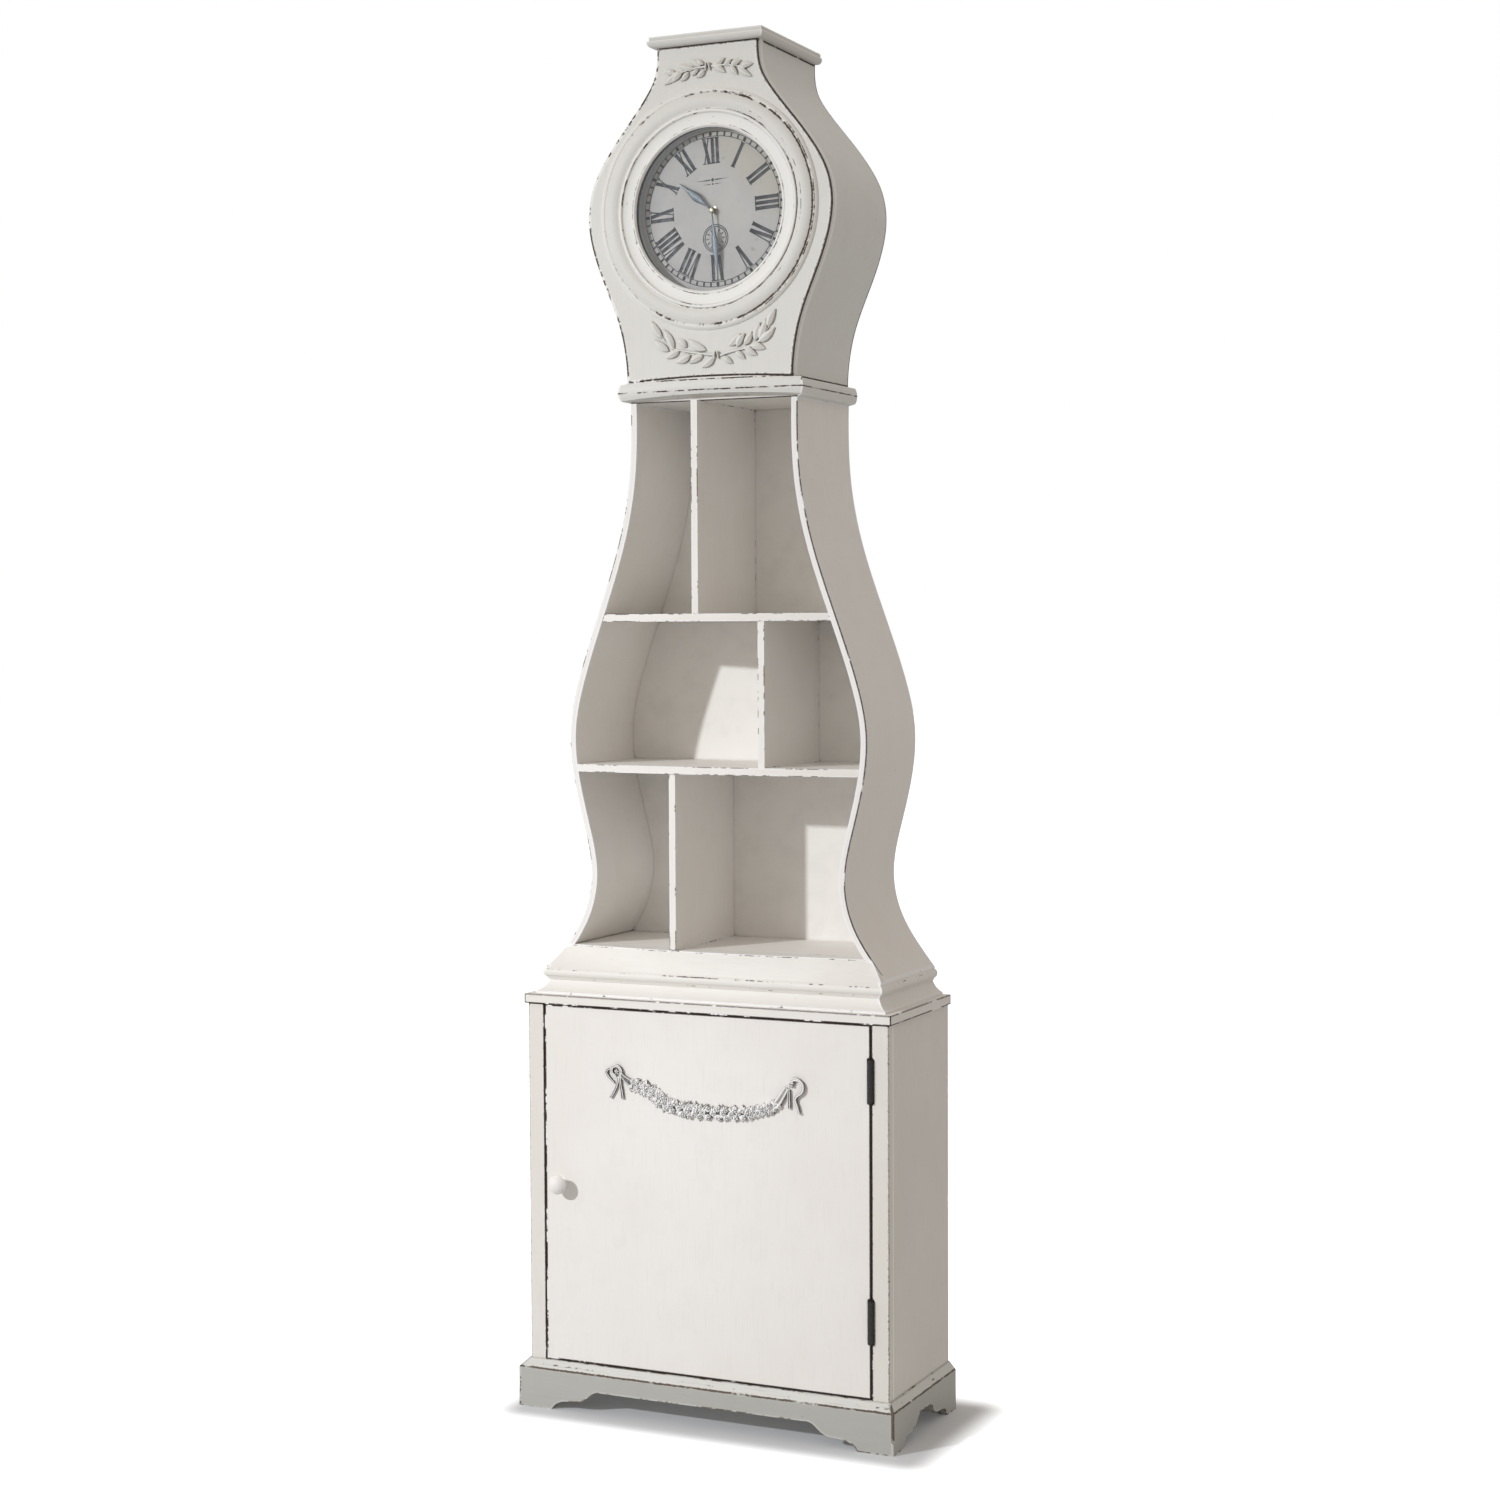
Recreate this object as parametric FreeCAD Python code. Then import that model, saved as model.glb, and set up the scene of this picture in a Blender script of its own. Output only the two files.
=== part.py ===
import FreeCAD, Part
import math
import os

V = FreeCAD.Vector

# Swedish baluster clock with open shelves over a cupboard, in millimetres.
# X is the width, Y the depth with the back towards +Y, and Z is up.
# Z is 0 under the feet, and X and Y are 0 in the middle of the footprint.

# Cupboard and plinth
cabinet_width = 575.0
cabinet_depth = 232.0
cabinet_height = 531.0
board = 16.0
back_board = 6.0
top_board = 14.0
top_overhang = 4.5
top_front_overhang = 3.5
stile_width = 26.0
plinth_height = 70.0
plinth_face = 58.5
plinth_front_board = 15.6
plinth_side_board = 12.0
plinth_back_board = 14.0
plinth_ledge = 2.0
front_foot = 54.5
side_foot = 36.0
apron_arch = 33.0
side_arch = 35.5
back_arch = 26.0
rail_height = 40.0
block_length = 36.0
block_depth = 19.0
edge_round = 1.5

# Door, its knob, hinges and catch
door_gap = 2.0
door_end_gap = 1.5
door_thickness = 16.0
knob_radius = 15.0
knob_reach = 27.0
knob_cap = 10.0
knob_taper = 5.0
knob_neck = 6.5
knob_foot = 8.0
knob_inset = 28.5
knob_rise = 1.0
knob_round = 3.0
screw_shank = 2.0
screw_head = 4.5
screw_head_height = 2.5
knob_screw_grip = 12.0
hinge_length = 60.0
hinge_low = 79.5
hinge_drop = 48.5
hinge_leaf = 0.8
hinge_leaf_width = 20.0
hinge_knuckle = 4.6
hinge_pin = 2.0
hinge_pin_cap = 1.2
hinge_proud = 1.6
hinge_play = 0.3
knuckle_play = 0.45
running_play = 0.05
hinge_screw_shank = 1.6
hinge_screw_length = 13.0
hinge_screw_pitch = 21.0
catch_length = 42.0
catch_depth = 15.0
catch_height = 12.0
catch_inset = 32.0
catch_gap = 0.3
strike_plate = 1.2

# Waist with its shelves
waist_depth = 188.5
waist_side = 9.0
base_height = 40.0
floor_height = 71.0
waist_height = 866.0
belly_half = 236.5
shelf_board = 11.0
divider_board = 10.0
shelf_bow = 18.0
divider_setback = 2.0
floor_board = 12.0
middle_shelf_height = 339.0
upper_shelf_height = 560.0
divider_upper_x = -23.0
divider_middle_x = 80.0
divider_lower_x = -62.0

# Base moulding round the foot of the waist
base_reach = 36.0
base_bead_reach = 28.0
base_bead_neck = 24.0
base_groove_reach = 21.0
base_groove_height = 19.0
base_bead_low = 24.0
base_bead_high = 37.0
base_fillet = 3.0
base_back = 22.0

# Neck, band and head
neck_board = 28.0
band_thickness = 13.5
band_bow = 8.0
band_rise = 6.5
neck_front_inset = 1.5
head_depth = 201.0
head_height = 476.0
head_half = 193.0
head_front_board = 12.0
head_side = 9.0
head_top_board = 15.0
cornice_height = 15.0
cornice_overhang = 11.0
cornice_fillet = 6.0
cornice_inset = 10.0
access_half = 75.0
access_low = 70.0
access_high = 80.0

# Dial and its rings, with the heights measured forward from the head's face
dial_centre = 242.5
ring_outer = 172.0
ring_lip = 165.5
ring_lip_height = 5.0
ring_groove = 163.5
ring_groove_height = 4.2
ring_crown = 152.0
ring_crown_height = 7.6
ring_inner = 140.8
bezel_outer = 140.5
bezel_edge_height = 5.4
bezel_cove = 135.5
bezel_cove_height = 3.2
bezel_bead_outer = 130.5
bezel_bead_crown = 126.0
bezel_bead_height = 6.4
bezel_bead_inner = 121.5
bezel_bead_foot = 2.8
bezel_slope = 120.5
bezel_slope_height = 3.2
bezel_opening = 115.7
bezel_lip = 0.5
glass_radius = 120.5
glass_thickness = 2.0
glass_seat = 4.0
glass_play = 0.3
panel_opening = 117.0
rim_outer = 128.0
rim_inner = 118.0
rim_depth = 9.0
dial_thickness = 4.0

# Clock movement and hands
movement_side = 56.0
movement_thickness = 16.0
movement_wall = 1.6
movement_round = 3.0
gear_centres = 12.0
hand_module = 0.5
motion_module = 0.48
cannon_teeth = 12
minute_teeth = 36
motion_pinion_teeth = 10
hour_teeth = 40
gear_face = 1.2
pinion_face = 1.7
gear_gap = 0.5
tooth_share = 0.43
arbor_radius = 1.0
hour_pipe_radius = 2.2
bush_radius = 4.0
bush_length = 6.8
nut_radius = 6.5
nut_thickness = 2.0
dial_hole_play = 0.2
hour_pipe_proud = 3.6
hand_sheet = 0.6
hour_hand_length = 67.0
hour_hand_width = 12.0
minute_hand_length = 101.0
minute_hand_width = 10.0
hour_boss = 5.0
minute_boss = 4.2
hand_gap = 1.3
cap_height = 2.6
hour_angle = 305.0
minute_angle = 174.5
battery_radius = 7.1
battery_length = 49.0
battery_nipple = 1.3
battery_nipple_radius = 2.6
battery_play = 0.3
bay_length = 52.0
contact_sheet = 0.5
contact_half = 4.0
setting_radius = 6.0
setting_height = 4.0
setting_shaft = 1.5
setting_flutes = 12

# Applied carving
leaf_width = 6.5
leaf_height = 3.2
leaf_spread = 28.0
stem_width = 3.2
stem_height = 2.4
upper_laurel_x = 2.5
upper_laurel_half = 59.0
upper_laurel_rise = 22.0
upper_laurel_height = 441.0
upper_laurel_leaf = 16.0
upper_laurel_pairs = 5
lower_laurel_x = 12.0
lower_laurel_half = 84.0
lower_laurel_drop = 40.0
lower_laurel_height = 34.0
lower_laurel_leaf = 25.0
lower_laurel_pairs = 5
tie_width = 7.0
tie_height = 4.5
garland_x = 7.0
garland_half = 136.0
garland_drop = 50.0
garland_below = 91.0
garland_thickness = 26.0
garland_body_height = 5.0
garland_flower_height = 7.5
garland_flowers = 15
bow_radius = 10.0
bow_hole = 5.0
bow_height = 5.5
bow_knot = 5.0
bow_knot_height = 8.0
bow_tail = 38.0
bow_tail_width = 7.5
bow_tail_spread = 16.0

overrun = 5.0

# Outline of the waist: share of the panel's height, share of the belly's half width
waist_shares = [(0.0, 1.130), (0.042, 1.018), (0.094, 0.911), (0.167, 0.858),
                (0.254, 0.911), (0.352, 0.988), (0.429, 1.0), (0.498, 0.953),
                (0.573, 0.869), (0.663, 0.755), (0.76, 0.645), (0.88, 0.569),
                (0.94, 0.559), (1.0, 0.56)]
# Outline of the head: share of the head's height, share of its half width
head_shares = [(0.0, 0.679), (0.065, 0.689), (0.17, 0.741), (0.307, 0.873),
               (0.426, 0.974), (0.51, 1.0), (0.588, 0.969), (0.689, 0.837),
               (0.748, 0.728), (0.807, 0.609), (0.868, 0.495), (0.905, 0.443),
               (0.947, 0.417), (1.0, 0.412)]
# Scroll of the feet: share of its length towards the foot, share of the arch's height
scroll_shares = [(0.0, 1.0), (0.18, 0.9), (0.33, 0.6), (0.51, 0.45),
                 (0.74, 0.42), (0.91, 0.26), (1.0, 0.0)]
# Length of a scroll as a share of half its arch, at the front and back and at the sides
front_scroll_share = 0.335
side_scroll_share = 0.866
# Leaf of a hand: shares of its length where it starts and where it is widest
hand_leaf_share = 0.2
hand_widest_share = 0.58
hand_stem_share = 0.2
# Thickness of the garland: share of its run from the middle, share of its full thickness
garland_shares = [(-1.0, 0.3), (-0.8, 0.4), (-0.45, 0.85), (0.0, 1.0), (0.45, 0.95),
                  (0.8, 0.5), (1.0, 0.3)]
flower_run_share = 0.8
flower_share = 0.31
flower_step_share = 0.2
leaf_belly_share = 0.45
# Base moulding: sag of the flare and of the cove, as shares of their reach
flare_sag_share = 0.36
cove_sag_share = 0.3
# Band: where its nose starts, as shares of its thickness and of a quarter of its height
band_edge_share = 0.75
band_round_share = 0.35
# Cornice: the ovolo's foot, swell and top, as shares of the overhang and of its height
ovolo_foot_share = 0.45
ovolo_swell_share = 0.93
ovolo_rise_share = 0.3
fillet_share = 0.82
# Gear teeth: tip and root in modules, and half widths at tip and root as shares of a step
tip_share = 0.85
root_share = 1.1
tip_width_share = 0.11
root_width_share = 0.34

# Places that follow from the sizes above
back_y = (cabinet_depth + knob_reach) / 2
front_y = back_y - cabinet_depth
cabinet_half = cabinet_width / 2
plinth_half = cabinet_half + plinth_side_board
plinth_y = front_y - plinth_front_board
top_z = plinth_height + cabinet_height
waist_z = top_z + top_board
panel_z = waist_z + base_height
floor_z = waist_z + floor_height
neck_z = waist_z + waist_height
head_z = neck_z + neck_board
cornice_z = head_z + head_height
waist_y = back_y - waist_depth
head_y = back_y - head_depth
middle_z = waist_z + middle_shelf_height
upper_z = waist_z + upper_shelf_height
door_half = cabinet_half - stile_width - door_gap
door_z = plinth_height + door_end_gap
door_top_z = top_z - door_end_gap
hinge_x = door_half + door_gap / 2
hinge_y = front_y - hinge_proud
dial_z = head_z + dial_centre
panel_back_y = head_y + head_front_board
dial_y = panel_back_y + rim_depth
movement_y = dial_y + dial_thickness


def box(x0, x1, y0, y1, z0, z1):
    return Part.makeBox(x1 - x0, y1 - y0, z1 - z0, V(x0, y0, z0))


def rod_x(radius, x0, x1, y, z):
    return Part.makeCylinder(radius, x1 - x0, V(x0, y, z), V(1, 0, 0))


def rod_y(radius, x, z, y0, y1):
    return Part.makeCylinder(radius, y1 - y0, V(x, y0, z), V(0, 1, 0))


def rod_z(radius, x, y, z0, z1):
    return Part.makeCylinder(radius, z1 - z0, V(x, y, z0), V(0, 0, 1))


def joined(shapes):
    whole = shapes[0]
    if len(shapes) > 1:
        whole = whole.fuse(shapes[1:])
    return whole.removeSplitter()


def mirrored(shape):
    return shape.mirror(V(0, 0, 0), V(1, 0, 0))


def polygon(points):
    return Part.makePolygon(points + [points[0]])


def slab_y(edges, y0, y1):
    """Closed outline in the plane y0, made solid as far as y1."""
    return Part.Face(Part.Wire(edges)).extrude(V(0, y1 - y0, 0))


def curve_through(points):
    curve = Part.BSplineCurve()
    curve.interpolate(points)
    return curve


def scaled_outline(shares, z, height, half):
    return [(half * width_share, z + height * height_share) for height_share, width_share in shares]


def inner_outline(points, wall):
    """Half widths at the same heights, one wall thickness inside the curve."""
    curve = curve_through([V(x, 0, z) for x, z in points])
    inner = []
    for x, z in points:
        tangent = curve.tangent(curve.parameter(V(x, 0, z)))[0]
        slant = math.hypot(tangent.x, tangent.z) / abs(tangent.z)
        inner.append((x - wall * slant, z))
    return inner


def full_body(points, y0, y1):
    """Solid between the outline and its mirror image."""
    right = curve_through([V(x, y0, z) for x, z in points])
    left = curve_through([V(-x, y0, z) for x, z in points])
    bottom = Part.LineSegment(left.StartPoint, right.StartPoint)
    top = Part.LineSegment(right.EndPoint, left.EndPoint)
    return slab_y([bottom.toShape(), right.toShape(), top.toShape(), left.toShape()], y0, y1)


waist_outer = scaled_outline(waist_shares, panel_z, neck_z - panel_z, belly_half)
waist_inner = inner_outline(waist_outer, waist_side)
head_outer = scaled_outline(head_shares, head_z, head_height, head_half)
head_inner = inner_outline(head_outer, head_side)
neck_half = waist_outer[-1][0]
crown_half = head_outer[-1][0]


def half_width(points, z):
    """Half width of an outline at a height between its points."""
    curve = curve_through([V(x, 0, z_point) for x, z_point in points])
    level = Part.Line(V(0, 0, z), V(1, 0, z))
    return min(point.X for point in curve.intersect(level))


# Plinth

def arch_cutter(half, arch, scroll_share, y0, y1):
    """Cutter for an arch on two scrolls about X 0, from the plane y0 to y1."""
    length = half * scroll_share
    right = [V(half - length * (1 - s), y0, arch * h) for s, h in scroll_shares]
    left = [V(-point.x, y0, point.z) for point in right]
    right_edge = curve_through(right).toShape()
    left_edge = curve_through(left).toShape()
    top = Part.LineSegment(left[0], right[0]).toShape()
    low = [right[-1], V(half, y0, -overrun), V(-half, y0, -overrun), left[-1]]
    return slab_y([top, right_edge] + Part.makePolygon(low).Edges + [left_edge], y0, y1)


def side_arch_cutter():
    run = back_y - plinth_y
    cutter = arch_cutter(run / 2 - side_foot, side_arch, side_scroll_share, -plinth_half - overrun,
                         plinth_half + overrun)
    cutter.rotate(V(0, 0, 0), V(0, 0, 1), 90)
    cutter.translate(V(0, (back_y + plinth_y) / 2, 0))
    return cutter


def plinth_ring():
    """Bevelled boards round the front and sides, as one block open behind."""
    ring = box(-plinth_half, plinth_half, plinth_y, back_y, 0, plinth_height)
    ring = ring.cut(box(-cabinet_half, cabinet_half, front_y, back_y + overrun,
                        -overrun, plinth_height + overrun))
    front_run = plinth_front_board - plinth_ledge
    rise = plinth_height - plinth_face
    bevel = polygon([V(-plinth_half - overrun, plinth_y, plinth_face),
                     V(-plinth_half - overrun, plinth_y + front_run, plinth_height),
                     V(-plinth_half - overrun, plinth_y + front_run, plinth_height + overrun),
                     V(-plinth_half - overrun, plinth_y - overrun, plinth_height + overrun),
                     V(-plinth_half - overrun, plinth_y - overrun, plinth_face)])
    ring = ring.cut(Part.Face(bevel).extrude(V(2 * (plinth_half + overrun), 0, 0)))
    side_run = plinth_side_board - plinth_ledge
    slope = rise / side_run
    bevel = polygon([V(plinth_half, plinth_y - overrun, plinth_face),
                     V(plinth_half - side_run, plinth_y - overrun, plinth_face + slope * side_run),
                     V(plinth_half - side_run, plinth_y - overrun, plinth_height + overrun),
                     V(plinth_half + overrun, plinth_y - overrun, plinth_height + overrun),
                     V(plinth_half + overrun, plinth_y - overrun, plinth_face)])
    wedge = Part.Face(bevel).extrude(V(0, back_y - plinth_y + 2 * overrun, 0))
    ring = ring.cut(wedge).cut(mirrored(wedge))
    return ring


def plinth_front_plan():
    plan = polygon([V(-plinth_half, plinth_y, -overrun), V(plinth_half, plinth_y, -overrun),
                    V(cabinet_half, front_y, -overrun), V(-cabinet_half, front_y, -overrun)])
    return Part.Face(plan).extrude(V(0, 0, plinth_height + 2 * overrun))


def plinth_front():
    front = plinth_ring().common(plinth_front_plan())
    arch = arch_cutter(plinth_half - front_foot, apron_arch, front_scroll_share,
                       plinth_y - overrun, front_y + overrun)
    return front.cut(arch)


def plinth_right():
    side = plinth_ring().cut(plinth_front_plan()).cut(side_arch_cutter())
    return side.common(box(0, plinth_half + overrun, plinth_y - overrun, back_y + overrun,
                           -overrun, plinth_height + overrun))


def plinth_back():
    rail = box(-cabinet_half, cabinet_half, back_y - plinth_back_board, back_y, 0, rail_height)
    return rail.cut(arch_cutter(plinth_half - front_foot, back_arch, front_scroll_share,
                                back_y - plinth_back_board - overrun, back_y + overrun))


def corner_blocks():
    front_block = box(cabinet_half - block_length, cabinet_half, front_y, front_y + block_depth,
                      0, rail_height)
    rear_y = back_y - plinth_back_board
    rear_block = box(cabinet_half - block_length, cabinet_half, rear_y - block_depth, rear_y,
                     0, rail_height)
    return Part.makeCompound([front_block, rear_block, mirrored(front_block), mirrored(rear_block)])


# Cupboard

def cabinet_side():
    return box(cabinet_half - board, cabinet_half, front_y + board, back_y, rail_height, top_z)


def stile():
    post = box(cabinet_half - stile_width, cabinet_half, front_y, front_y + board, rail_height, top_z)
    return post.makeFillet(edge_round, [edge for edge in post.Edges
                                        if edge.BoundBox.ZLength > board
                                        and edge.BoundBox.XMax > cabinet_half - edge_round
                                        and edge.BoundBox.YMin < front_y + edge_round])


def right_stile():
    return stile().cut(hinge_notches())


def cabinet_bottom():
    between_sides = box(board - cabinet_half, cabinet_half - board, front_y + board,
                        back_y - back_board, plinth_height - board, plinth_height)
    inner = cabinet_half - stile_width
    between_stiles = box(-inner, inner, front_y, front_y + board, plinth_height - board, plinth_height)
    return joined([between_sides, between_stiles])


def cabinet_back():
    return box(board - cabinet_half, cabinet_half - board, back_y - back_board, back_y,
               plinth_height - board, top_z)


def cabinet_top():
    half = cabinet_half + top_overhang
    lid = box(-half, half, front_y - top_front_overhang, back_y, top_z, waist_z)
    return lid.makeFillet(edge_round, [edge for edge in lid.Edges
                                       if edge.BoundBox.YMin < front_y
                                       and edge.BoundBox.ZLength < edge_round
                                       and edge.BoundBox.ZMax > waist_z - edge_round])


def catch_y():
    return front_y + door_thickness + strike_plate + catch_gap


def catch_magnet():
    x0 = -door_half + catch_inset
    case = box(x0, x0 + catch_length, catch_y(), catch_y() + catch_depth, top_z - catch_height, top_z)
    return case.makeFillet(edge_round, [edge for edge in case.Edges
                                        if edge.BoundBox.ZLength > edge_round])


def catch_strike():
    x0 = -door_half + catch_inset
    inner_y = front_y + door_thickness
    return box(x0, x0 + catch_length, inner_y, inner_y + strike_plate,
               top_z - catch_height, door_top_z - door_end_gap)


# Door

def hinge_feet():
    return [door_z + hinge_low, door_top_z - hinge_drop - hinge_length]


def hinge_notches():
    """Rounds cut in the door and the stile for the knuckles and the pins' caps."""
    beyond = hinge_pin_cap + hinge_play
    return Part.makeCompound([rod_z(hinge_knuckle + knuckle_play, hinge_x, hinge_y, z - beyond,
                                    z + hinge_length + beyond) for z in hinge_feet()])


def knob_place():
    return -door_half + knob_inset, (door_z + door_top_z) / 2 + knob_rise


def screw_heights(z):
    middle = z + hinge_length / 2
    return [middle - hinge_screw_pitch, middle, middle + hinge_screw_pitch]


def screw_line():
    return hinge_y + hinge_leaf_width * 3 / 4


def leaf_screws(face_x, direction):
    """Wood screws driven through a leaf, flush with its face."""
    screws = []
    for z in hinge_feet():
        for level in screw_heights(z):
            head = Part.makeCone(hinge_screw_shank * 2, hinge_screw_shank, hinge_leaf,
                                 V(face_x, screw_line(), level), V(direction, 0, 0))
            shank = Part.makeCylinder(hinge_screw_shank, hinge_screw_length,
                                      V(face_x, screw_line(), level), V(direction, 0, 0))
            screws.append(joined([head, shank]))
    return Part.makeCompound(screws)


def hinge_door_screws():
    return leaf_screws(door_half + hinge_leaf, -1)


def hinge_frame_screws():
    return leaf_screws(door_half + door_gap - hinge_leaf, 1)


def door_panel():
    slab = box(-door_half, door_half, front_y, front_y + door_thickness, door_z, door_top_z)
    slab = slab.cut(hinge_notches())
    x, z = knob_place()
    slab = slab.cut(rod_y(screw_shank, x, z, front_y - overrun, front_y + door_thickness + overrun))
    return slab.cut(hinge_door_screws())


def door_knob():
    """Turned mushroom knob with a domed cap on a tapered neck."""
    x, z = knob_place()

    def at(radius, reach):
        return V(x + radius, front_y - reach, z)
    rim = knob_reach - knob_cap
    outline = [at(0, 0), at(knob_foot, 0), at(knob_foot, edge_round), at(knob_neck, edge_round),
               at(knob_neck, rim - knob_taper), at(knob_radius, rim)]
    ball = (knob_radius ** 2 + knob_cap ** 2) / (2 * knob_cap)
    angle = math.asin(knob_radius / ball) / 2
    shoulder = at(ball * math.sin(angle), knob_reach - ball + ball * math.cos(angle))
    tip = at(0, knob_reach)
    edges = Part.makePolygon(outline).Edges
    edges.append(Part.Arc(outline[-1], shoulder, tip).toShape())
    edges.append(Part.LineSegment(tip, outline[0]).toShape())
    knob = Part.Face(Part.Wire(edges)).revolve(V(x, 0, z), V(0, 1, 0), 360)
    knob = knob.makeFillet(knob_round, [edge for edge in knob.Edges
                                        if edge.BoundBox.XLength > 2 * knob_radius - edge_round])
    return knob.cut(rod_y(screw_shank, x, z, front_y - knob_screw_grip, front_y + overrun))


def knob_screw():
    x, z = knob_place()
    inner_y = front_y + door_thickness
    shank = rod_y(screw_shank, x, z, front_y - knob_screw_grip, inner_y)
    head = rod_y(screw_head, x, z, inner_y, inner_y + screw_head_height)
    head = head.makeFillet(edge_round, [edge for edge in head.Edges
                                        if edge.BoundBox.YMin > inner_y + screw_head_height / 2])
    return joined([shank, head])


def knuckle(z0, z1):
    return rod_z(hinge_knuckle, hinge_x, hinge_y, z0, z1)


def hinge_third(z, index):
    """Lower and upper height of one of the three knuckles of a hinge."""
    third = hinge_length / 3
    return z + third * index + hinge_play / 2, z + third * (index + 1) - hinge_play / 2


def leaf_plate(x0, x1, z0, z1):
    return box(x0, x1, hinge_y, hinge_y + hinge_leaf_width, z0, z1)


def hinge_frame_leaves():
    leaves = []
    outer_x = door_half + door_gap
    for z in hinge_feet():
        plate = leaf_plate(outer_x - hinge_leaf, outer_x, z, z + hinge_length)
        middle = hinge_third(z, 1)
        plate = plate.cut(rod_z(hinge_knuckle + knuckle_play, hinge_x, hinge_y,
                                middle[0] - hinge_play, middle[1] + hinge_play))
        low = hinge_third(z, 0)
        high = hinge_third(z, 2)
        leaf = joined([plate, knuckle(low[0], low[1]), knuckle(high[0], high[1])])
        leaf = leaf.cut(rod_z(hinge_pin, hinge_x, hinge_y, z - overrun, z + hinge_length + overrun))
        leaves.append(leaf.cut(hinge_frame_screws()))
    return Part.makeCompound(leaves)


def hinge_door_leaves():
    leaves = []
    for z in hinge_feet():
        plate = leaf_plate(door_half, door_half + hinge_leaf, z, z + hinge_length)
        for index in (0, 2):
            low, high = hinge_third(z, index)
            plate = plate.cut(rod_z(hinge_knuckle + knuckle_play, hinge_x, hinge_y,
                                    low - hinge_play, high + hinge_play))
        middle = hinge_third(z, 1)
        leaf = joined([plate, knuckle(middle[0], middle[1])])
        leaf = leaf.cut(rod_z(hinge_pin + running_play, hinge_x, hinge_y,
                              z - overrun, z + hinge_length + overrun))
        leaves.append(leaf.cut(hinge_door_screws()))
    return Part.makeCompound(leaves)


def hinge_pins():
    pins = []
    for z in hinge_feet():
        pin = rod_z(hinge_pin, hinge_x, hinge_y, z, z + hinge_length)
        cap = rod_z(hinge_knuckle * 2 / 3, hinge_x, hinge_y, z + hinge_length,
                    z + hinge_length + hinge_pin_cap)
        foot = rod_z(hinge_knuckle * 2 / 3, hinge_x, hinge_y, z - hinge_pin_cap, z)
        pins.append(joined([pin, cap, foot]))
    return Part.makeCompound(pins)


# Waist

def bow_at(x, half):
    """How far a bowed front edge stands forward at a distance from the middle."""
    return shelf_bow * (1 - (x / half) ** 2)


def bowed_shelf(z0, z1, half):
    """Board with a bowed front edge, trimmed to the inside of the waist."""
    front_left = V(-half, waist_y, z0)
    front_right = V(half, waist_y, z0)
    arc = Part.Arc(front_left, V(0, waist_y - shelf_bow, z0), front_right)
    rear_y = back_y - back_board
    rest = Part.makePolygon([front_right, V(belly_half * 2, waist_y, z0),
                             V(belly_half * 2, rear_y, z0), V(-belly_half * 2, rear_y, z0),
                             V(-belly_half * 2, waist_y, z0), front_left])
    face = Part.Face(Part.Wire([arc.toShape()] + rest.Edges))
    return face.extrude(V(0, 0, z1 - z0)).common(waist_inside())


def waist_inside():
    return full_body(waist_inner, waist_y - shelf_bow - overrun, back_y + overrun)


def waist_side_panel():
    shell = full_body(waist_outer, waist_y, back_y).cut(waist_inside())
    return shell.common(box(0, belly_half * 2, waist_y, back_y, panel_z, neck_z))


def waist_back():
    inner = base_side_inner()
    foot = box(-inner, inner, back_y - back_board, back_y, waist_z, panel_z)
    return joined([full_body(waist_inner, back_y - back_board, back_y), foot])


def waist_floor():
    half = half_width(waist_inner, floor_z)
    return bowed_shelf(floor_z - floor_board, floor_z, half).cut(base_front())


def shelf_middle():
    return bowed_shelf(middle_z - shelf_board, middle_z, half_width(waist_inner, middle_z))


def shelf_upper():
    return bowed_shelf(upper_z - shelf_board, upper_z, half_width(waist_inner, upper_z))


def divider(x, z0, z1):
    half = min(half_width(waist_inner, z0), half_width(waist_inner, min(z1, neck_z - edge_round)))
    y0 = waist_y - bow_at(x, half) + divider_setback
    return box(x - divider_board / 2, x + divider_board / 2, y0, back_y - back_board, z0, z1)


def divider_upper():
    return divider(divider_upper_x, upper_z, neck_z)


def divider_middle():
    return divider(divider_middle_x, middle_z, upper_z - shelf_board)


def divider_lower():
    return divider(divider_lower_x, floor_z, middle_z - shelf_board)


# Base moulding

def floor_half():
    return half_width(waist_outer, floor_z)


def base_lower_edges(at):
    """Fillet, cove and bead of the base moulding; at(out, height) places a point."""
    low = at(base_reach, 0)
    fillet = at(base_reach, base_fillet)
    groove = at(base_groove_reach, base_groove_height)
    cove_mid = at(base_groove_reach + (base_reach - base_groove_reach) * cove_sag_share,
                  (base_fillet + base_groove_height) / 2)
    bead_foot = at(base_bead_neck, base_bead_low)
    bead_tip = at(base_bead_reach, (base_bead_low + base_bead_high) / 2)
    bead_top = at(base_bead_neck, base_bead_high)
    return [Part.LineSegment(low, fillet), Part.Arc(fillet, cove_mid, groove),
            Part.LineSegment(groove, bead_foot), Part.Arc(bead_foot, bead_tip, bead_top)]


def base_section(x, top_out):
    """Section of the front moulding across X, standing out by top_out at its top."""
    def at(out, height):
        return V(x, waist_y - out, waist_z + height)
    bead_top = at(base_bead_neck, base_bead_high)
    flare_mid = at(top_out + (base_bead_neck - top_out) * flare_sag_share,
                   (floor_height + base_bead_high) / 2)
    flare_top = at(top_out, floor_height)
    back_top = at(-base_back, floor_height)
    back_low = at(-base_back, 0)
    edges = [Part.LineSegment(back_low, at(base_reach, 0))] + base_lower_edges(at)
    edges += [Part.Arc(bead_top, flare_mid, flare_top), Part.LineSegment(flare_top, back_top),
              Part.LineSegment(back_top, back_low)]
    return Part.Wire([edge.toShape() for edge in edges])


def base_side_inner():
    """Half width between the inner faces of the side mouldings."""
    return waist_inner[0][0] - waist_side


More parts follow.
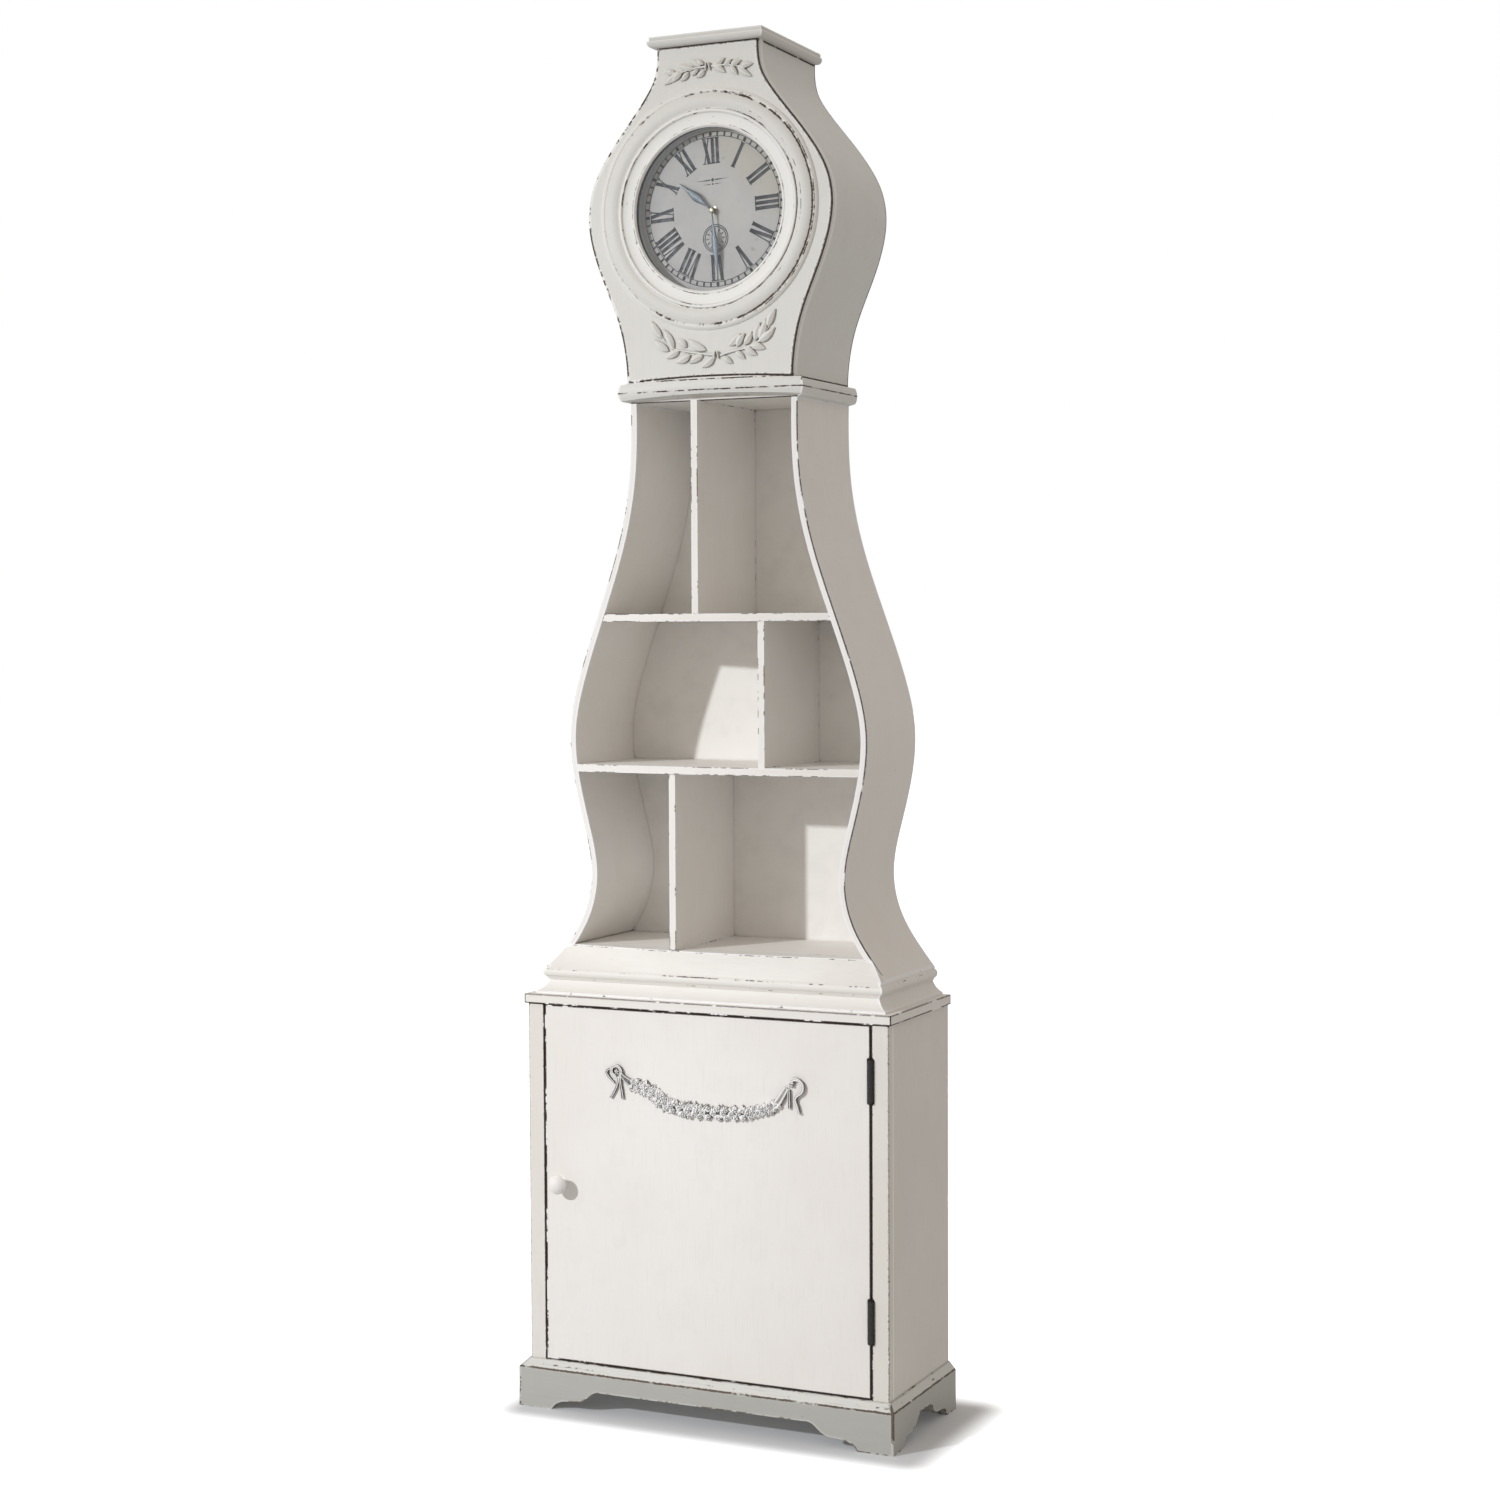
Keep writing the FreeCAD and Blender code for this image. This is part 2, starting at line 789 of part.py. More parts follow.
def base_side_block():
    """Side moulding: the flare of the side panel, ended by the bead and the cove."""
    half = floor_half()

    def at(out, height):
        return V(half + out, waist_y - base_reach, waist_z + height)
    inner = base_side_inner() - half
    flare = min(waist_outer[0][0] - half, base_bead_neck)
    corners = [at(base_bead_neck, base_bead_high), at(flare, base_height), at(inner, base_height),
               at(inner, 0), at(base_reach, 0)]
    edges = [edge.toShape() for edge in base_lower_edges(at)]
    face = Part.Face(Part.Wire(edges + Part.makePolygon(corners).Edges))
    return face.extrude(V(0, back_y - waist_y + base_reach, 0))


def base_mitre():
    """Plan wedge in front of both corner mitres, over the whole height."""
    half = floor_half()
    reach = base_reach + overrun
    inset = base_back + base_reach
    plan = polygon([V(-half - reach, waist_y - reach, waist_z - overrun),
                    V(half + reach, waist_y - reach, waist_z - overrun),
                    V(half - inset, waist_y + inset, waist_z - overrun),
                    V(-half + inset, waist_y + inset, waist_z - overrun)])
    return Part.Face(plan).extrude(V(0, 0, floor_height + 2 * overrun))


def base_front():
    """Front moulding, bowed at its top edge and straight along its bead."""
    half = floor_half()
    ends = base_reach + overrun
    bowed = Part.makeLoft([base_section(-half, 0), base_section(0, shelf_bow),
                           base_section(half, 0)], True)
    end = Part.Face(base_section(half, 0)).extrude(V(ends, 0, 0))
    block = joined([bowed, end, mirrored(end)])
    reach = half + ends
    lower = block.common(base_mitre()).common(box(-reach, reach, waist_y - reach, back_y,
                                                  waist_z, panel_z))
    return joined([lower, block.common(waist_hull_above())])


def waist_hull_above():
    """Space in front of and between the side panels, over the side mouldings."""
    reach = base_reach + overrun
    inner = full_body(waist_outer, waist_y - reach, waist_y)
    between = full_body(waist_inner, waist_y - reach, back_y)
    return joined([inner, between])


def base_right():
    return base_side_block().cut(base_mitre())


# Neck and head

def neck():
    return box(-neck_half, neck_half, waist_y + neck_front_inset, back_y, neck_z, head_z)


def band_section(x, y, z, outward, stand):
    """Half-round section of the band from the neck's face, pushed forward by stand."""
    back = V(x, y, z)
    edge_reach = outward * (stand + band_thickness * band_edge_share)
    round_z = V(0, 0, neck_board / 4 * band_round_share)
    full = V(0, 0, neck_board)
    nose = back + outward * (stand + band_thickness) + full / 2
    nose_low = back + edge_reach + round_z
    nose_high = back + full + edge_reach - round_z
    edges = [Part.LineSegment(back, nose_low).toShape(), Part.Arc(nose_low, nose, nose_high).toShape(),
             Part.LineSegment(nose_high, back + full).toShape(),
             Part.LineSegment(back + full, back).toShape()]
    return Part.Wire(edges)


def band_moulding():
    """Band arched and bowed across the front, with straight returns mitred to it."""
    out = band_thickness + band_bow + overrun
    reach = neck_half + out
    y = waist_y + neck_front_inset
    ahead = V(0, -1, 0)
    front = Part.makeLoft([band_section(-reach, y, neck_z, ahead, 0),
                           band_section(0, y, neck_z + band_rise, ahead, band_bow),
                           band_section(reach, y, neck_z, ahead, 0)], True)
    wedge = polygon([V(-reach, y - out, neck_z - overrun), V(reach, y - out, neck_z - overrun),
                     V(neck_half, y, neck_z - overrun), V(-neck_half, y, neck_z - overrun)])
    mitre = Part.Face(wedge).extrude(V(0, 0, neck_board + band_rise + 2 * overrun))
    side = Part.Face(band_section(neck_half, y - out, neck_z, V(1, 0, 0), 0))
    side = side.extrude(V(0, back_y - y + out, 0)).cut(mitre)
    return joined([front.common(mitre), side, mirrored(side)])


def head_front():
    panel = full_body(head_outer, head_y, panel_back_y)
    panel = panel.cut(rod_y(panel_opening, 0, dial_z, head_y - overrun, panel_back_y + overrun))
    panel = panel.cut(rod_y(glass_radius + glass_play, 0, dial_z, head_y - overrun,
                            head_y + glass_seat))
    return panel.cut(band_moulding())


def head_side_panel():
    shell = full_body(head_outer, panel_back_y, back_y)
    shell = shell.cut(full_body(head_inner, panel_back_y - overrun, back_y + overrun))
    side = shell.common(box(0, head_half * 2, panel_back_y, back_y, head_z, cornice_z))
    return side.cut(band_moulding())


def head_back():
    panel = full_body(head_inner, back_y - back_board, back_y)
    hatch = box(-access_half, access_half, back_y - back_board - overrun, back_y + overrun,
                dial_z - access_low, dial_z + access_high)
    hatch = hatch.makeFillet(access_half / 6, [edge for edge in hatch.Edges
                                               if edge.BoundBox.YLength > back_board])
    return panel.cut(hatch)


def head_top():
    board_half = crown_half + cornice_overhang - cornice_inset
    return box(-board_half, board_half, head_y - cornice_overhang + cornice_inset, back_y,
               cornice_z, cornice_z + head_top_board)


def cornice_section(at):
    """Ovolo under a flat fillet; at(out, height) places a point of the section."""
    inner = cornice_overhang - cornice_inset
    rise = cornice_height - cornice_fillet
    low = at(inner, 0)
    foot = at(cornice_overhang * ovolo_foot_share, 0)
    swell = at(cornice_overhang * ovolo_swell_share, rise * ovolo_rise_share)
    step = at(cornice_overhang, rise)
    fillet_low = at(cornice_overhang * fillet_share, rise)
    fillet = at(cornice_overhang * fillet_share, cornice_height)
    back = at(inner, cornice_height)
    return Part.Wire([Part.LineSegment(low, foot).toShape(), Part.Arc(foot, swell, step).toShape()]
                     + Part.makePolygon([step, fillet_low, fillet, back, low]).Edges)


def cornice():
    reach = crown_half + cornice_overhang + overrun
    front = Part.Face(cornice_section(lambda out, height: V(-reach, head_y - out, cornice_z + height)))
    front = front.extrude(V(2 * reach, 0, 0))
    tip = cornice_overhang + overrun
    wedge = polygon([V(-crown_half - tip, head_y - tip, cornice_z - overrun),
                     V(crown_half + tip, head_y - tip, cornice_z - overrun),
                     V(crown_half - tip, head_y + tip, cornice_z - overrun),
                     V(-crown_half + tip, head_y + tip, cornice_z - overrun)])
    mitre = Part.Face(wedge).extrude(V(0, 0, cornice_height + 2 * overrun))
    side_y = head_y - tip
    side = Part.Face(cornice_section(lambda out, height: V(crown_half + out, side_y, cornice_z + height)))
    side = side.extrude(V(0, back_y - side_y, 0)).cut(mitre)
    return joined([front.common(mitre), side, mirrored(side)])


# Dial

def turned(points, arcs):
    """Ring about the dial's centre line, from (radius, height forward) points.

    arcs maps the index of a point to the point that the edge after it passes through.
    """
    def at(pair):
        return V(pair[0], head_y - pair[1], dial_z)
    edges = []
    for index, start in enumerate(points):
        end = points[(index + 1) % len(points)]
        if index in arcs:
            edges.append(Part.Arc(at(start), at(arcs[index]), at(end)).toShape())
        else:
            edges.append(Part.LineSegment(at(start), at(end)).toShape())
    face = Part.Face(Part.Wire(edges))
    return face.revolve(V(0, 0, dial_z), V(0, 1, 0), 360)


def dial_ring():
    groove_outer = ring_lip - (ring_lip_height - ring_groove_height)
    points = [(ring_inner, 0), (ring_inner, ring_groove_height), (ring_groove, ring_groove_height),
              (groove_outer, ring_groove_height), (ring_lip, ring_lip_height), (ring_outer, 0)]
    slope_share = math.sqrt(0.5)
    arcs = {1: (ring_crown, ring_crown_height),
            4: (ring_lip + (ring_outer - ring_lip) * slope_share, ring_lip_height * slope_share)}
    return turned(points, arcs)


def bezel():
    points = [(bezel_outer, 0), (bezel_outer, bezel_edge_height), (bezel_bead_outer, bezel_edge_height),
              (bezel_bead_inner, bezel_bead_foot), (bezel_slope, bezel_slope_height),
              (bezel_opening, -glass_seat + glass_thickness + bezel_lip),
              (bezel_opening, -glass_seat + glass_thickness),
              (glass_radius, -glass_seat + glass_thickness), (glass_radius, 0)]
    arcs = {1: (bezel_cove, bezel_cove_height), 2: (bezel_bead_crown, bezel_bead_height)}
    return turned(points, arcs)


def dial_glass():
    return rod_y(glass_radius, 0, dial_z, head_y + glass_seat - glass_thickness, head_y + glass_seat)


def dial_rim():
    ring = rod_y(rim_outer, 0, dial_z, panel_back_y, dial_y)
    return ring.cut(rod_y(rim_inner, 0, dial_z, panel_back_y - overrun, dial_y + overrun))


def dial_plate():
    plate = rod_y(rim_outer, 0, dial_z, dial_y, movement_y)
    return plate.cut(rod_y(bush_radius + dial_hole_play, 0, dial_z, dial_y - overrun,
                           movement_y + overrun))


# Movement

def front_wall_y():
    return movement_y + movement_wall


def hour_wheel_y():
    return front_wall_y() + gear_gap / 2


def minute_wheel_y():
    return hour_wheel_y() + pinion_face + gear_gap / 2


def setting_z():
    return dial_z + gear_centres


def bay_centre_z():
    return dial_z - movement_side / 2 + movement_wall + battery_radius + battery_play


def battery_y():
    return movement_y + movement_thickness - battery_radius - battery_play


def bay_half_width():
    return battery_radius + battery_play


def movement_block():
    half = movement_side / 2
    block = box(-half, half, movement_y, movement_y + movement_thickness, dial_z - half, dial_z + half)
    return block.makeFillet(movement_round, [edge for edge in block.Edges
                                             if edge.BoundBox.YLength > movement_round])


def battery_bay():
    return box(-bay_length / 2, bay_length / 2, movement_y + movement_wall / 2,
               movement_y + movement_thickness + overrun,
               bay_centre_z() - bay_half_width(), bay_centre_z() + bay_half_width())


def cover_y():
    return movement_y + movement_thickness - movement_wall


def train_floor_z():
    return bay_centre_z() + bay_half_width() + movement_wall / 2


def train_space(y0, y1):
    """Room for the wheels above the battery bay."""
    half = movement_side / 2 - movement_wall
    return box(-half, half, y0, y1, train_floor_z(), dial_z + half)


def movement_case():
    case = movement_block().cut(battery_bay())
    case = case.cut(train_space(front_wall_y(), movement_y + movement_thickness + overrun))
    bush = rod_y(bush_radius, 0, dial_z, movement_y - bush_length, movement_y + movement_wall)
    case = joined([case, bush])
    pin = rod_y(setting_shaft / 2, 0, setting_z(), front_wall_y(), minute_wheel_y())
    case = joined([case, pin])
    return case.cut(rod_y(hour_pipe_radius + running_play, 0, dial_z,
                          movement_y - bush_length - overrun, front_wall_y() + gear_gap / 4))


def movement_cover():
    cover = train_space(cover_y(), movement_y + movement_thickness)
    cover = cover.cut(rod_y(setting_shaft + running_play, 0, setting_z(),
                            cover_y() - overrun, movement_y + movement_thickness + overrun))
    boss = rod_y(bush_radius, 0, dial_z, cover_y() - pinion_face, cover_y())
    cover = joined([cover, boss])
    return cover.cut(rod_y(arbor_radius + running_play, 0, dial_z, cover_y() - pinion_face - overrun,
                           cover_y() + movement_wall / 2))


def gear(module, teeth, x, z, y0, y1, turn):
    """Straight-flanked wheel whose teeth are cut narrow for backlash."""
    pitch_radius = module * teeth / 2
    tip = pitch_radius + module * tip_share
    root = pitch_radius - module * root_share
    flanks = ((root, -root_width_share), (pitch_radius, -tooth_share / 2), (tip, -tip_width_share),
              (tip, tip_width_share), (pitch_radius, tooth_share / 2), (root, root_width_share))
    step = 2 * math.pi / teeth
    points = []
    for index in range(teeth):
        centre = step * index + turn
        for radius, share in flanks:
            angle = centre + step * share
            points.append(V(x + radius * math.sin(angle), y0, z + radius * math.cos(angle)))
    return Part.Face(polygon(points)).extrude(V(0, y1 - y0, 0))


def gap_down(teeth):
    """Turn that puts the middle of a gap straight down, where the other wheel's tooth is."""
    return math.pi + math.pi / teeth


def minute_arbor():
    tip_y = hour_front_y() - hand_gap - hand_sheet - cap_height / 2
    shaft = rod_y(arbor_radius, 0, dial_z, tip_y, cover_y() + movement_wall / 4)
    cannon = gear(hand_module, cannon_teeth, 0, dial_z, minute_wheel_y(),
                  minute_wheel_y() + pinion_face, 0)
    return joined([shaft, cannon])


def hour_front_y():
    return movement_y - bush_length - hour_pipe_proud


def hour_wheel():
    wheel = gear(motion_module, hour_teeth, 0, dial_z, hour_wheel_y(), hour_wheel_y() + gear_face, 0)
    pipe = rod_y(hour_pipe_radius, 0, dial_z, hour_front_y(), hour_wheel_y() + gear_face)
    whole = joined([wheel, pipe])
    return whole.cut(rod_y(arbor_radius + running_play, 0, dial_z, hour_front_y() - overrun,
                           hour_wheel_y() + gear_face + overrun))


def setting_wheel():
    """Minute wheel with its pinion in front and the hand-setting knob behind."""
    x = 0
    z = setting_z()
    wheel_y = minute_wheel_y()
    wheel = gear(hand_module, minute_teeth, x, z, wheel_y, wheel_y + gear_face,
                 gap_down(minute_teeth))
    pinion = gear(motion_module, motion_pinion_teeth, x, z, hour_wheel_y(), wheel_y,
                  gap_down(motion_pinion_teeth))
    knob_y = movement_y + movement_thickness + gear_gap
    shaft = rod_y(setting_shaft, x, z, wheel_y, knob_y)
    knob = rod_y(setting_radius, x, z, knob_y, knob_y + setting_height)
    for index in range(setting_flutes):
        angle = 2 * math.pi * index / setting_flutes
        knob = knob.cut(rod_y(setting_radius / 6, x + setting_radius * math.sin(angle),
                              z + setting_radius * math.cos(angle), knob_y - overrun,
                              knob_y + setting_height + overrun))
    whole = joined([wheel, pinion, shaft, knob])
    return whole.cut(rod_y(setting_shaft / 2 + running_play, x, z, hour_wheel_y() - overrun,
                           wheel_y + gear_gap / 4))


def movement_nut():
    points = [V(nut_radius * math.cos(math.pi * k / 3), dial_y - nut_thickness,
                dial_z + nut_radius * math.sin(math.pi * k / 3)) for k in range(6)]
    nut = Part.Face(polygon(points)).extrude(V(0, nut_thickness, 0))
    return nut.cut(rod_y(bush_radius, 0, dial_z, dial_y - nut_thickness - overrun, dial_y + overrun))


def battery():
    y = battery_y()
    z = bay_centre_z()
    start = -(battery_length + battery_nipple) / 2
    can = rod_x(battery_radius, start, start + battery_length, y, z)
    nipple = rod_x(battery_nipple_radius, start + battery_length, start + battery_length + battery_nipple,
                   y, z)
    return joined([can, nipple])


def battery_contacts():
    contacts = []
    for side in (-1, 1):
        outer = side * bay_length / 2
        inner = outer - side * contact_sheet
        z0 = bay_centre_z() - contact_half
        y0 = movement_y + movement_wall / 2
        contacts.append(box(min(outer, inner), max(outer, inner), y0,
                            y0 + movement_thickness - movement_wall, z0, z0 + 2 * contact_half))
    return Part.makeCompound(contacts)


def hand_shape(length, width, boss, y0, angle, bore):
    """Leaf-shaped hand cut from sheet, pointing at an angle clockwise from the top."""
    base = V(0, y0, length * hand_leaf_share)
    tip = V(0, y0, length)
    right = V(width / 2, y0, length * hand_widest_share)
    left = V(-width / 2, y0, length * hand_widest_share)
    blade = slab_y([Part.Arc(base, right, tip).toShape(), Part.Arc(tip, left, base).toShape()],
                   y0, y0 + hand_sheet)
    stem = width * hand_stem_share
    rib = box(-stem / 2, stem / 2, y0, y0 + hand_sheet, 0, length / 2)
    hand = joined([blade, rib, rod_y(boss, 0, 0, y0, y0 + hand_sheet)])
    if bore:
        hand = hand.cut(rod_y(bore, 0, 0, y0 - overrun, y0 + hand_sheet + overrun))
    hand.rotate(V(0, 0, 0), V(0, 1, 0), angle)
    hand.translate(V(0, 0, dial_z))
    return hand


def hour_hand():
    return hand_shape(hour_hand_length, hour_hand_width, hour_boss, hour_front_y(), hour_angle,
                      hour_pipe_radius)


def minute_hand():
    y0 = hour_front_y() - hand_gap - hand_sheet
    hand = hand_shape(minute_hand_length, minute_hand_width, minute_boss, y0, minute_angle, 0)
    cap = Part.makeCone(minute_boss * 2 / 3, minute_boss / 3, cap_height, V(0, y0, dial_z), V(0, -1, 0))
    hand = joined([hand, cap])
    return hand.cut(rod_y(arbor_radius, 0, dial_z, y0 - cap_height / 2, y0 + hand_sheet + overrun))


# Carving

def leaf_blade(x, y, z, angle, length, width, height):
    """Pointed leaf lying on a face in the plane y, growing from (x, z) at an angle from up."""
    tip = V(0, 0, length)
    right = V(width / 2, 0, length * leaf_belly_share)
    left = V(-width / 2, 0, length * leaf_belly_share)
    base = V(0, 0, 0)
    face = Part.Face(Part.Wire([Part.Arc(base, right, tip).toShape(), Part.Arc(tip, left, base).toShape()]))
    blade = face.extrude(V(0, -height, 0))
    blade.rotate(base, V(0, 1, 0), angle)
    blade.translate(V(x, y, z))
    return blade


def arch_point(x, half, rise, z, share):
    """Point of a parabola, and the angle of its run from up, at a share of its half."""
    slope = -2 * rise * share / half
    return x + half * share, z - rise * share ** 2, math.degrees(math.atan2(1, slope))


def rib_between(low_points, high_points, y0, y1):
    """Slab between two curves that run the same way."""
    low = curve_through(low_points)
    high = curve_through(high_points)
    edges = [low.toShape(), Part.LineSegment(low.EndPoint, high.EndPoint).toShape(),
             high.toShape(), Part.LineSegment(high.StartPoint, low.StartPoint).toShape()]
    return slab_y(edges, y0, y1)


def sprig(x, half, rise, z, leaf, pairs):
    """Two laurel branches tied in the middle, with paired leaves that point outward."""
    run = [V(half * share, head_y, z - rise * share ** 2) for share in (-1, -0.5, 0, 0.5, 1)]
    width = V(0, 0, stem_width / 2)
    pieces = [rib_between([point - width for point in run], [point + width for point in run],
                          head_y, head_y - stem_height)]
    pieces.append(box(-tie_width / 2, tie_width / 2, head_y - tie_height, head_y,
                      z - tie_width, z + tie_width))
    for index in range(pairs):
        leaf_x, leaf_z, angle = arch_point(0, half, rise, z, (index + 0.5) / pairs)
        for spread in (-leaf_spread, leaf_spread):
            blade = leaf_blade(leaf_x, head_y, leaf_z, angle + spread, leaf, leaf_width, leaf_height)
            pieces += [blade, mirrored(blade)]
    tip_x, tip_z, angle = arch_point(0, half, rise, z, 1)
    end = leaf_blade(tip_x, head_y, tip_z, angle, leaf / 2, leaf_width, leaf_height)
    whole = joined(pieces + [end, mirrored(end)])
    whole.translate(V(x, 0, 0))
    return whole


def laurel_upper():
    return sprig(upper_laurel_x, upper_laurel_half, upper_laurel_rise, head_z + upper_laurel_height,
                 upper_laurel_leaf, upper_laurel_pairs)


def laurel_lower():
    laurel = sprig(lower_laurel_x, lower_laurel_half, -lower_laurel_drop, head_z + lower_laurel_height,
                   lower_laurel_leaf, lower_laurel_pairs)
    return laurel.cut(rod_y(ring_outer, 0, dial_z, head_y - leaf_height - overrun, head_y))


def bow(side):
    """Ribbon bow at an end of the garland: a loop, a knot and two hanging tails."""
    x = garland_half * side
    z = door_top_z - garland_below
    loop_z = z + bow_radius / 2
    loop = rod_y(bow_radius, x, loop_z, front_y - bow_height, front_y)
    loop = loop.cut(rod_y(bow_hole, x, loop_z, front_y - bow_height - overrun, front_y + overrun))
    knot = Part.makeCone(bow_knot, bow_knot / 2, bow_knot_height, V(x, front_y, z), V(0, -1, 0))
    tails = [leaf_blade(x, front_y, z, 180 + turn, bow_tail, bow_tail_width, bow_height)
             for turn in (-bow_tail_spread, bow_tail_spread)]
    return [loop, knot] + tails


def door_garland():
    """Rope of flowers hung between two bows, flat behind against the door."""
    low_z = door_top_z - garland_below - garland_drop
    centre = [(garland_half * run, low_z + garland_drop * run ** 2, garland_thickness / 2 * share)
              for run, share in garland_shares]
    pieces = [rib_between([V(x, front_y, z - half) for x, z, half in centre],
                          [V(x, front_y, z + half) for x, z, half in centre],
                          front_y, front_y - garland_body_height)]
    for index in range(garland_flowers):
        run = (2 * (index + 0.5) / garland_flowers - 1) * flower_run_share
        size = garland_thickness * flower_share * math.sqrt(1 - run ** 2)
        side = 1 if index % 2 else -1
        z = low_z + garland_drop * run ** 2 + side * garland_thickness * flower_step_share
        pieces.append(Part.makeCone(size, size / 2, garland_flower_height,
                                    V(garland_half * run, front_y, z), V(0, -1, 0)))
    whole = joined(pieces + bow(-1) + bow(1))
    whole.translate(V(garland_x, 0, 0))
    return whole


def build():
    """Every sub-part by its node name."""
    plinth_side = plinth_right()
    side = cabinet_side()
    waist_panel = waist_side_panel()
    moulding = base_right()
    head_panel = head_side_panel()
    return {
        "plinth_front": plinth_front(),
        "plinth_left": mirrored(plinth_side),
        "plinth_right": plinth_side,
        "plinth_back": plinth_back(),
        "corner_blocks": corner_blocks(),
        "cabinet_bottom": cabinet_bottom(),
        "cabinet_side_left": mirrored(side),
        "cabinet_side_right": side,
        "cabinet_back": cabinet_back(),
        "cabinet_top": cabinet_top(),
        "stile_left": mirrored(stile()),
        "stile_right": right_stile().cut(hinge_frame_screws()),
        "catch_magnet": catch_magnet(),
        "catch_strike": catch_strike(),
        "door_panel": door_panel(),
        "door_knob": door_knob(),
        "knob_screw": knob_screw(),
        "door_garland": door_garland(),
        "hinge_frame_leaves": hinge_frame_leaves(),
        "hinge_door_leaves": hinge_door_leaves(),
        "hinge_pins": hinge_pins(),
        "hinge_frame_screws": hinge_frame_screws(),
        "hinge_door_screws": hinge_door_screws(),
        "base_front": base_front(),
        "base_left": mirrored(moulding),
        "base_right": moulding,
        "waist_floor": waist_floor(),
        "waist_side_left": mirrored(waist_panel),
        "waist_side_right": waist_panel,
        "waist_back": waist_back(),
        "shelf_middle": shelf_middle(),
        "shelf_upper": shelf_upper(),
        "divider_lower": divider_lower(),
        "divider_middle": divider_middle(),
        "divider_upper": divider_upper(),
        "neck_board": neck(),
        "band_moulding": band_moulding(),
        "head_front": head_front(),
        "head_side_left": mirrored(head_panel),
        "head_side_right": head_panel,
        "head_back": head_back(),
        "head_top": head_top(),
        "cornice": cornice(),
        "laurel_upper": laurel_upper(),
        "laurel_lower": laurel_lower(),
        "dial_ring": dial_ring(),
        "dial_bezel": bezel(),
        "dial_glass": dial_glass(),
        "dial_rim": dial_rim(),
        "dial_plate": dial_plate(),
        "movement_nut": movement_nut(),
        "movement_case": movement_case(),
        "movement_cover": movement_cover(),
        "battery_contacts": battery_contacts(),
        "battery": battery(),
        "minute_arbor": minute_arbor(),
        "minute_hand": minute_hand(),
        "hour_wheel": hour_wheel(),
        "hour_hand": hour_hand(),
        "setting_wheel": setting_wheel(),
    }


os.makedirs("parts", exist_ok=True)
for name, shape in build().items():
    if not shape.isValid():
        print("not valid:", name)
    print(name, "solids", len(shape.Solids), "volume", round(shape.Volume))
    shape.exportStep("parts/" + name + ".step")
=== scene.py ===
import functools
import math
import random

import bpy
from mathutils import Matrix, Vector


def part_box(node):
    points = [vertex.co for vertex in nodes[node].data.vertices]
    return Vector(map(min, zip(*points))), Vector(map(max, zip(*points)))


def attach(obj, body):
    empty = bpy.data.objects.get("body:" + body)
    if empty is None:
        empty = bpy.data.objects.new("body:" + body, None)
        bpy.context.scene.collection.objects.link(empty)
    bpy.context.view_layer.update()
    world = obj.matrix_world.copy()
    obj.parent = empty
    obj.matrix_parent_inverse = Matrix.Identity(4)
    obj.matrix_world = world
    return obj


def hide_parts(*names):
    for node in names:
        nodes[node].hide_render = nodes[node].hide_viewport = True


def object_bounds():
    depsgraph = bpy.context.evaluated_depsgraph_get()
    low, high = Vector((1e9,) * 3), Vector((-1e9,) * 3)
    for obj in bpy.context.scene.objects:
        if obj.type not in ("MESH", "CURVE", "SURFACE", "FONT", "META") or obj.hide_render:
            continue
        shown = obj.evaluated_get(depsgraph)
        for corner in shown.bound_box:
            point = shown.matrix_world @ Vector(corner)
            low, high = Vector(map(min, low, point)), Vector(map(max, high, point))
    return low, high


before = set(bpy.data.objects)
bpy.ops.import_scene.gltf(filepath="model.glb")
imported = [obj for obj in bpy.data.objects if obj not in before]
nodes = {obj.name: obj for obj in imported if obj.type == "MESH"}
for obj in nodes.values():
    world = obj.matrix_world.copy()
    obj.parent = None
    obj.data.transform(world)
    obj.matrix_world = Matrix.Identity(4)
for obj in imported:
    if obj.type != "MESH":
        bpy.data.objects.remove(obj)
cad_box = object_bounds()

MM = 0.001

# Places that model.glb gives, in metres
ring_low, ring_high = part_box("dial_ring")
dial_x = (ring_low.x + ring_high.x) / 2
dial_z = (ring_low.z + ring_high.z) / 2
dial_face_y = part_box("dial_plate")[0].y
head_face_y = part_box("head_front")[0].y
door_face_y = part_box("door_panel")[0].y

# Camera, fitted to the photograph
camera_azimuth = math.radians(25.003)
camera_elevation = math.radians(2.648)
camera_roll = math.radians(-0.2565)
camera_lens = 62.72
camera_place = Vector((1.64018, -3.4548, 1.15238))

# Colours, as linear red, green and blue
WHITE_PAINT = (0.83, 0.815, 0.785)
# Greyer than the door's white: partly the head's own tone, partly painted shade for the weaker light on the
# head
HEAD_TONE_AND_SHADE = (0.76, 0.76, 0.735)
DOOR_PAINT = (0.84, 0.82, 0.795)
# A lighter white: partly its own tone, partly painted light for the brighter shelves
CASE_TONE_AND_LIGHT = (0.875, 0.855, 0.825)
CABINET_PAINT = (0.77, 0.745, 0.705)
PLINTH_PAINT = (0.45, 0.45, 0.425)
# Plinth's bevel: partly white paint like the parts above, partly painted light on a face turned up
BEVEL_PAINT_AND_LIGHT = (0.68, 0.68, 0.65)
RIM_PAINT = (0.36, 0.40, 0.45)
# Painted shade for the deep gaps in the shelves and the band
SHELF_GAP_SHADE = (0.22, 0.19, 0.165)
BARE_WOOD = (0.032, 0.018, 0.012)
RUBBED_WOOD = (0.11, 0.085, 0.065)
# Dust and painted shade in the corners
CORNER_DUST_AND_SHADE = (0.42, 0.37, 0.32)
# Painted shade for deep gaps between parts
GAP_SHADE = (0.07, 0.055, 0.045)
